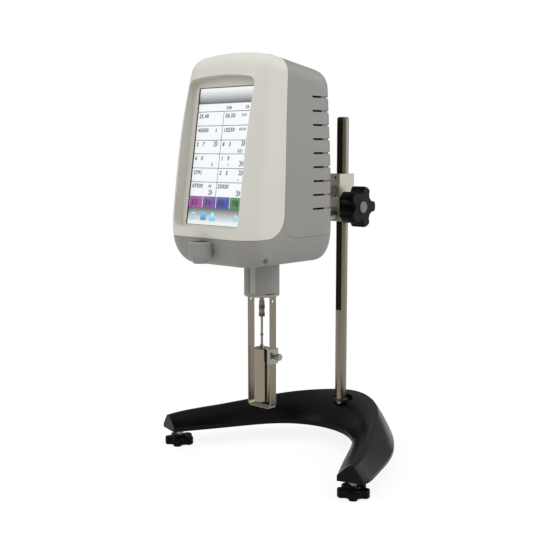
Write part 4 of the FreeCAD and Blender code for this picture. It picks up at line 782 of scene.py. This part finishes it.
class RHEO_OT_small_marks(bpy.types.Operator):
    """Add the level's ring and bubble and the rocker's two moulded marks"""
    bl_idname = "rheometer.small_marks"
    bl_label = "Level and switch marks"

    def execute(self, context):
        self.level()
        self.rocker()
        return {"FINISHED"}

    def level(self):
        top = middle_of(VIAL_BOX)
        top.z = VIAL_BOX[1].z
        verts, faces = bridge(loop_rings(LEVEL_RING_RADIUS, LEVEL_RING_WIRE), caps=False)
        ring = piece("level_ring", [v + top for v in verts], faces, "ring_black", "head")
        half = BUBBLE_HALF_HEIGHT
        dome = [(0.0001, -0.0010)]
        dome += [(BUBBLE_RADIUS * math.sin(t), half - half * (1 - math.cos(t)))
                 for t in (math.pi * k / 12 for k in range(11, 0, -1))]
        verts, faces = bridge(turned_rings(dome, 32))
        below = top - Vector((0, 0, BUBBLE_DEPTH))
        bubble = piece("level_bubble", [v + below for v in verts], faces, "bubble", "head")

    def rocker(self):
        middle = middle_of(ROCKER_BOX)
        face = ROCKER_BOX[1].y
        turn = Matrix(((1, 0, 0), (0, 0, 1), (0, -1, 0)))
        verts, faces = bridge(loop_rings(ROCKER_RING_RADIUS, ROCKER_RING_WIRE, 32, 6),
                              caps=False)
        above = Vector((middle.x, face - ROCKER_RING_DEPTH, middle.z + ROCKER_MARK_HEIGHT))
        ring = ([turn @ v + above for v in verts], faces)
        half, tall = ROCKER_BAR_HALF_WIDTH, ROCKER_BAR_HALF_HEIGHT
        corners = ((-half, -tall), (half, -tall), (half, tall), (-half, tall))
        verts, faces = bridge([[Vector((x, y, z)) for x, z in corners]
                               for y in (0.0, ROCKER_BAR_DEPTH)])
        below = Vector((middle.x, face - ROCKER_BAR_DEPTH, middle.z - ROCKER_MARK_HEIGHT))
        bar = ([v + below for v in verts], faces)
        marks = piece("rocker_marks", *join([ring, bar]), "mark_white", "rocker")


# Display

# Places on the screen are in millimetres from its middle, sideways and upwards
LINE_HEIGHTS = (50.4, 34.5, 18.2, 2.9, -13.2, -28.9)
MIDDLE_LINE = -1.6
BUTTON_TOP, BUTTON_BOTTOM = -45.0, -57.7
# Each figure's text, place and share of the mark height
FIGURES = (
    ("240", 1.5, 52.6, 0.8), ("20", 31.0, 52.8, 0.8),
    ("25.40", -41.0, 43.6, 1.0), ("36.50", 1.0, 43.4, 1.0), ("0.01", 26.5, 44.6, 0.66),
    ("45000", -41.0, 27.5, 1.0), ("5", -12.5, 27.6, 0.8), ("10250", 0.5, 27.5, 1.0),
    ("60.00", 24.5, 28.8, 0.66),
    ("2   7", -41.0, 11.6, 1.0), ("8   3", 1.0, 11.6, 1.0), ("021", 25.5, 4.6, 0.8),
    ("6   0", -41.0, -4.2, 1.0), ("5", -13.5, -10.8, 0.8), ("1   9", 1.0, -4.2, 1.0),
    ("1", 12, -10.8, 0.7),
    ("3791", -41.0, -20.4, 1.0), ("2   5", 1.0, -20.4, 1.0), ("1", 30, -27.4, 0.7),
    ("07500", -41.0, -35.4, 1.0), ("90", -14.5, -35.0, 0.7), ("25020", 0.0, -35.4, 1.0),
)
CHEVRONS = ((-13.5, 11.0), (29.5, 11.4), (29.5, -10.8), (30, -20.8), (-14.0, -43.6),
            (29.5, -43.6))
CHEVRON_SIZE = 0.0062
BUTTONS = (("magenta", (0.34, 0.012, 0.30), "12"), ("purple", (0.14, 0.02, 0.33), "34"),
           ("blue", (0.012, 0.03, 0.34), "56"), ("green", (0.008, 0.24, 0.02), "78"))
BUTTON_GAP = 0.0004
BUTTON_FIGURE = 0.0088
# Height of the icons' middles on the screen, in metres
ICON_LINE = -0.0675
# Layers of the picture behind the glass, and the thickness of its sheets
GROUND_LAYER, LINE_LAYER, FIGURE_LAYER = -0.00310, -0.00306, -0.00303
SHEET = 0.00012
HEADER_CORNER = 0.0035


def on_screen(u, v, forward=0.0):
    """Point on the leaning screen plane, in metres from its centre."""
    return Vector((u, (SCREEN_Y - CENTRE_Y) * MM + v * math.sin(LEAN) - forward * math.cos(LEAN),
                   SCREEN_Z * MM + v * math.cos(LEAN) + forward * math.sin(LEAN)))


def height_on_screen(v):
    """Height above the floor of a place on the screen."""
    return SCREEN_Z * MM + v * math.cos(LEAN)


def sheet_of(points, forward):
    """Thin plate on the screen plane with the outline that is given."""
    return bridge([[on_screen(u, v, layer) for u, v in points]
                   for layer in (forward - SHEET, forward)])


def sheet_box(u0, u1, v0, v1, forward):
    return sheet_of([(u0, v0), (u1, v0), (u1, v1), (u0, v1)], forward)


def rounded_plate(half, low, high, forward):
    """Plate whose two upper corners are round."""
    points = [(-half, low), (half, low)]
    for side, start in ((1, 0), (-1, 90)):
        for k in range(9):
            t = math.radians(start + 90 * k / 8)
            points.append((side * (half - HEADER_CORNER) + HEADER_CORNER * math.cos(t),
                           high - HEADER_CORNER + HEADER_CORNER * math.sin(t)))
    return sheet_of(points, forward)


def flat_parts(points):
    """One flat face in the layer of the figures."""
    return [on_screen(u, v, FIGURE_LAYER) for u, v in points], [tuple(range(len(points)))]


def ring_parts(u, v, outer, inner, count=24):
    """Flat ring in the layer of the figures."""
    verts = [on_screen(u + radius * math.cos(t), v + radius * math.sin(t), FIGURE_LAYER)
             for radius in (outer, inner) for t in turns(count)]
    faces = [(k, (k + 1) % count, (k + 1) % count + count, k + count) for k in range(count)]
    return verts, faces


def chevron_parts(u, v):
    """Two pointed strokes side by side."""
    size = CHEVRON_SIZE
    points = [(0, 0), (size * 0.42, size * 0.5), (0, size), (size * 0.26, size),
              (size * 0.68, size * 0.5), (size * 0.26, 0)]
    return [([on_screen(u + shift + a, v + b, FIGURE_LAYER) for a, b in points],
             [(0, 5, 4, 1), (1, 4, 3, 2)]) for shift in (0.0, size * 0.5)]


def figure_parts(text, u, v, height, lean=0.12, weight=0.038):
    """Flat figures of the built-in font as points and faces on the screen plane."""
    curve = bpy.data.curves.new("figures", "FONT")
    curve.body = text
    curve.size = height
    curve.shear = lean
    curve.space_character = 1.12
    curve.offset = height * weight
    curve.resolution_u = 3
    holder = bpy.data.objects.new("figures", curve)
    bpy.context.scene.collection.objects.link(holder)
    graph = bpy.context.evaluated_depsgraph_get()
    mesh = bpy.data.meshes.new_from_object(holder.evaluated_get(graph))
    verts = [on_screen(u + p.co.x, v + p.co.y, FIGURE_LAYER) for p in mesh.vertices]
    faces = [tuple(face.vertices) for face in mesh.polygons]
    bpy.data.objects.remove(holder)
    bpy.data.curves.remove(curve)
    bpy.data.meshes.remove(mesh)
    return verts, faces


class RHEO_OT_display(bpy.types.Operator):
    """Build the lit display: header, ruled table, figures, buttons and icon bar"""
    bl_idname = "rheometer.display"
    bl_label = "Display"

    def execute(self, context):
        half, tall = sizes().screen_half_width, sizes().screen_half_height
        low = tall - sizes().header_height
        white = colours().paper
        ground = lit("display_ground", white, white, strength=0.96)
        self.show("display_ground", [sheet_box(-half, half, -tall, tall, GROUND_LAYER)], ground)
        silver = lit("display_header", (0.12, 0.12, 0.125), (0.90, 0.90, 0.89),
                     height_on_screen(low), height_on_screen(tall - 0.003))
        self.show("display_header", [rounded_plate(half, low, tall, LINE_LAYER)], silver)
        self.table(half, low)
        self.buttons(half)
        self.icons(half, tall)
        return {"FINISHED"}

    def show(self, name, parts, material):
        """Add a piece of the picture, which rides with the head."""
        thing = add_mesh(name, *join(parts), material)
        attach(thing, "head")

    def table(self, half, low):
        dark = colours().lines
        ink = lit("display_ink", dark, dark)
        line = sizes().line_width / 2
        rows = [sheet_box(-half, half, v * MM - line, v * MM + line, LINE_LAYER)
                for v in LINE_HEIGHTS]
        rows.append(sheet_box(-half, half, low - line * 2, low, LINE_LAYER))
        middle = MIDDLE_LINE * MM
        rows.append(sheet_box(middle - line, middle + line, BUTTON_TOP * MM,
                              LINE_HEIGHTS[0] * MM, LINE_LAYER))
        self.show("display_lines", rows, ink)
        marks = [figure_parts(text, u * MM, v * MM, sizes().mark_height * share)
                 for text, u, v, share in FIGURES]
        for u, v in CHEVRONS:
            marks += chevron_parts(u * MM, v * MM)
        self.show("display_figures", marks, ink)

    def buttons(self, half):
        width = half * 2 / len(BUTTONS)
        low, high = BUTTON_BOTTOM * MM, BUTTON_TOP * MM
        for k, (name, tint, text) in enumerate(BUTTONS):
            left = -half + k * width + BUTTON_GAP
            right = -half + (k + 1) * width - BUTTON_GAP
            pale = [0.09 + 0.85 * c for c in tint]
            deep = [0.1 * c for c in tint]
            paint = lit(f"button_{name}", tint, pale, height_on_screen(low + 0.007),
                        height_on_screen(high))
            self.show(f"button_{name}", [sheet_box(left, right, low, high, LINE_LAYER)], paint)
            figure = figure_parts(text, left + width * 0.16, low + 0.0030, BUTTON_FIGURE,
                                  lean=0.05, weight=0.07)
            self.show(f"button_figure_{name}", [figure],
                      lit(f"button_mark_{name}", deep, deep))

    def icons(self, half, tall):
        low, high = -tall, BUTTON_BOTTOM * MM
        bar = lit("icon_bar", (0.86, 0.90, 0.90), (0.07, 0.08, 0.085),
                  height_on_screen(low + 0.002), height_on_screen(high - 0.001))
        self.show("icon_bar", [sheet_box(-half, half, low, high, LINE_LAYER)], bar)
        cyan = lit("icon_cyan", (0.05, 0.55, 0.75), (0.6, 0.95, 1.0), 0.302, 0.312)
        blue = lit("icon_blue", (0.02, 0.18, 0.5), (0.25, 0.65, 0.95), 0.302, 0.314)
        faint = lit("icon_faint", (0.6, 0.7, 0.7), (0.35, 0.4, 0.42), 0.302, 0.312)
        v = ICON_LINE
        square = sheet_box(-0.0225, -0.0135, v - 0.0045, v + 0.0045, FIGURE_LAYER)
        home = flat_parts([(-0.0085, v - 0.0048), (0.0015, v - 0.0048), (0.0015, v),
                           (-0.0035, v + 0.0055), (-0.0085, v)])
        arrow = flat_parts([(0.0315, v - 0.0045), (0.0385, v), (0.0315, v + 0.0045)])
        self.show("icon_square", [square], blue)
        self.show("icon_home", [home], cyan)
        self.show("icon_ring", [ring_parts(-0.0345, v, 0.0042, 0.0028)], cyan)
        self.show("icon_dot", [ring_parts(0.0150, v, 0.0038, 0.0026)], faint)
        self.show("icon_arrow", [arrow], cyan)


# Studio

FLOOR_TINT = (0.62, 0.62, 0.61, 1)
# Floor's own white, and its share as the camera and as gloss see it
FLOOR_GLOW, FLOOR_SEEN, FLOOR_GLOSS = 1.07, 0.82, 0.25
LAMP_AIM = Vector((0, 0, 0.25))
# Way to the window, and the closeness to it at which it fades in and is full
WINDOW_WAY = Vector((0.62, 0.70, 0.35)).normalized()
WINDOW_EDGE, WINDOW_FULL = 0.70, 0.94
# Room that gloss shows: its strength at the floor, and what is added overhead
ROOM, ROOM_OVERHEAD = 0.16, 0.5
# Camera in millimetres about the spindle's axis, and its angles in degrees
CAMERA_PLACE = (758.4, -809.9, 380.2)
CAMERA_DOWN, CAMERA_ROUND = 7.494, 42.311
SENSOR = 36.0
LENS_PIXELS, PICTURE_PIXELS = 945.9, 550.0


def seen_directly(tree, path):
    """Camera rays, and those that came through glass."""
    return tree.maths("MAXIMUM", path.outputs["Is Camera Ray"],
                      path.outputs["Is Transmission Ray"])


class RHEO_OT_stage(bpy.types.Operator):
    """Set the pale floor, soft lamps, sky and camera"""
    bl_idname = "rheometer.stage"
    bl_label = "Stage"

    def execute(self, context):
        self.floor()
        self.lamp("key_lamp", (-0.6, -1.6, 1.5), studio().key_power, 1.2)
        self.lamp("fill_lamp", (1.7, 0.1, 1.0), studio().fill_power, 1.0)
        self.sky()
        self.camera()
        context.scene.view_settings.view_transform = "Standard"
        return {"FINISHED"}

    def floor(self):
        material, tree, shader = principled("pale_floor")
        shader.inputs["Base Color"].default_value = FLOOR_TINT
        shader.inputs["Roughness"].default_value = 0.8
        glow = tree.node("ShaderNodeEmission")
        glow.inputs["Strength"].default_value = FLOOR_GLOW
        path = tree.node("ShaderNodeLightPath")
        seen = tree.maths("MULTIPLY", seen_directly(tree, path), FLOOR_SEEN)
        seen = tree.maths("MULTIPLY_ADD", path.outputs["Is Glossy Ray"], FLOOR_GLOSS, seen)
        share = tree.node("ShaderNodeMixShader")
        tree.feed(share.inputs[0], seen)
        tree.link(shader.outputs[0], share.inputs[1])
        tree.link(glow.outputs[0], share.inputs[2])
        result = material.node_tree.nodes["Material Output"]
        tree.link(share.outputs[0], result.inputs["Surface"])
        half = studio().floor_size / 2
        corners = [(-half, -half, 0), (half, -half, 0), (half, half, 0), (-half, half, 0)]
        add_mesh("pale_floor", corners, [(0, 1, 2, 3)], material)

    def lamp(self, name, place, power, width):
        data = bpy.data.lights.new(name, "AREA")
        data.shape = "DISK"
        data.size = width
        data.energy = power
        lamp = bpy.data.objects.new(name, data)
        lamp.location = place
        lamp.rotation_euler = (LAMP_AIM - Vector(place)).to_track_quat("-Z", "Y").to_euler()
        bpy.context.scene.collection.objects.link(lamp)

    def sky(self):
        """White to the camera, soft as light, and in gloss a dim room with a window."""
        world = bpy.data.worlds.new("soft_sky")
        world.use_nodes = True
        bpy.context.scene.world = world
        tree = Tree(world.node_tree)
        path = tree.node("ShaderNodeLightPath")
        way = tree.node("ShaderNodeTexCoord").outputs["Generated"]
        height = tree.maths("MAXIMUM", tree.split(way)["Z"], 0.0)
        diffuse = tree.maths("MULTIPLY_ADD", height, studio().zenith, studio().sky)
        toward = tree.node("ShaderNodeVectorMath", operation="DOT_PRODUCT")
        tree.link(way, toward.inputs[0])
        toward.inputs[1].default_value = WINDOW_WAY
        window = tree.node("ShaderNodeMapRange", interpolation_type="SMOOTHSTEP")
        tree.link(toward.outputs["Value"], window.inputs["Value"])
        window.inputs["From Min"].default_value = WINDOW_EDGE
        window.inputs["From Max"].default_value = WINDOW_FULL
        glossy = tree.maths("MULTIPLY_ADD", window.outputs[0], studio().glow, ROOM)
        glossy = tree.maths("MULTIPLY_ADD", height, ROOM_OVERHEAD, glossy)
        strength = tree.node("ShaderNodeMix")
        tree.link(path.outputs["Is Glossy Ray"], strength.inputs[0])
        tree.feed(strength.inputs[2], diffuse)
        tree.feed(strength.inputs[3], glossy)
        final = tree.node("ShaderNodeMix")
        tree.link(seen_directly(tree, path), final.inputs[0])
        tree.link(strength.outputs[0], final.inputs[2])
        final.inputs[3].default_value = 1.0
        ground = world.node_tree.nodes["Background"]
        ground.inputs["Color"].default_value = (1, 1, 1, 1)
        tree.link(final.outputs[0], ground.inputs["Strength"])

    def camera(self):
        data = bpy.data.cameras.new("camera")
        data.sensor_width = SENSOR
        data.lens = LENS_PIXELS / PICTURE_PIXELS * SENSOR
        data.clip_start = 0.01
        data.clip_end = 50.0
        camera = bpy.data.objects.new("camera", data)
        camera.location = spindle_frame(*CAMERA_PLACE)
        camera.rotation_euler = (math.radians(90 - CAMERA_DOWN), 0.0, math.radians(CAMERA_ROUND))
        bpy.context.scene.collection.objects.link(camera)
        bpy.context.scene.camera = camera


OPERATORS = (RHEO_OT_finishes, RHEO_OT_lift_knob, RHEO_OT_feet, RHEO_OT_knurls,
             RHEO_OT_neck_trim, RHEO_OT_small_marks, RHEO_OT_display, RHEO_OT_stage)


class RHEO_PT_panel(bpy.types.Panel):
    """Sidebar panel with the settings, and one button for each group of pieces"""
    bl_label = "Rheometer"
    bl_idname = "RHEO_PT_panel"
    bl_space_type = "VIEW_3D"
    bl_region_type = "UI"
    bl_category = "Rheometer"

    def draw(self, context):
        for group in (colours(), sizes(), studio()):
            box = self.layout.box()
            for name in group.bl_rna.properties.keys():
                if name not in {"rna_type", "name"}:
                    box.prop(group, name)
        for operator in OPERATORS:
            self.layout.operator(operator.bl_idname)


SETTINGS = (("rheometer_colours", RheometerColours), ("rheometer_sizes", RheometerSizes),
            ("rheometer_studio", RheometerStudio))
CLASSES = tuple(group for _, group in SETTINGS) + OPERATORS + (RHEO_PT_panel,)


def register():
    for one in CLASSES:
        bpy.utils.register_class(one)
    for name, group in SETTINGS:
        setattr(bpy.types.Scene, name, bpy.props.PointerProperty(type=group))


def unregister():
    for name, _ in SETTINGS:
        delattr(bpy.types.Scene, name)
    for one in reversed(CLASSES):
        bpy.utils.unregister_class(one)


def main():
    register()
    for operator in OPERATORS:
        group, name = operator.bl_idname.split(".")
        getattr(getattr(bpy.ops, group), name)()


if __name__ == "__main__":
    main()
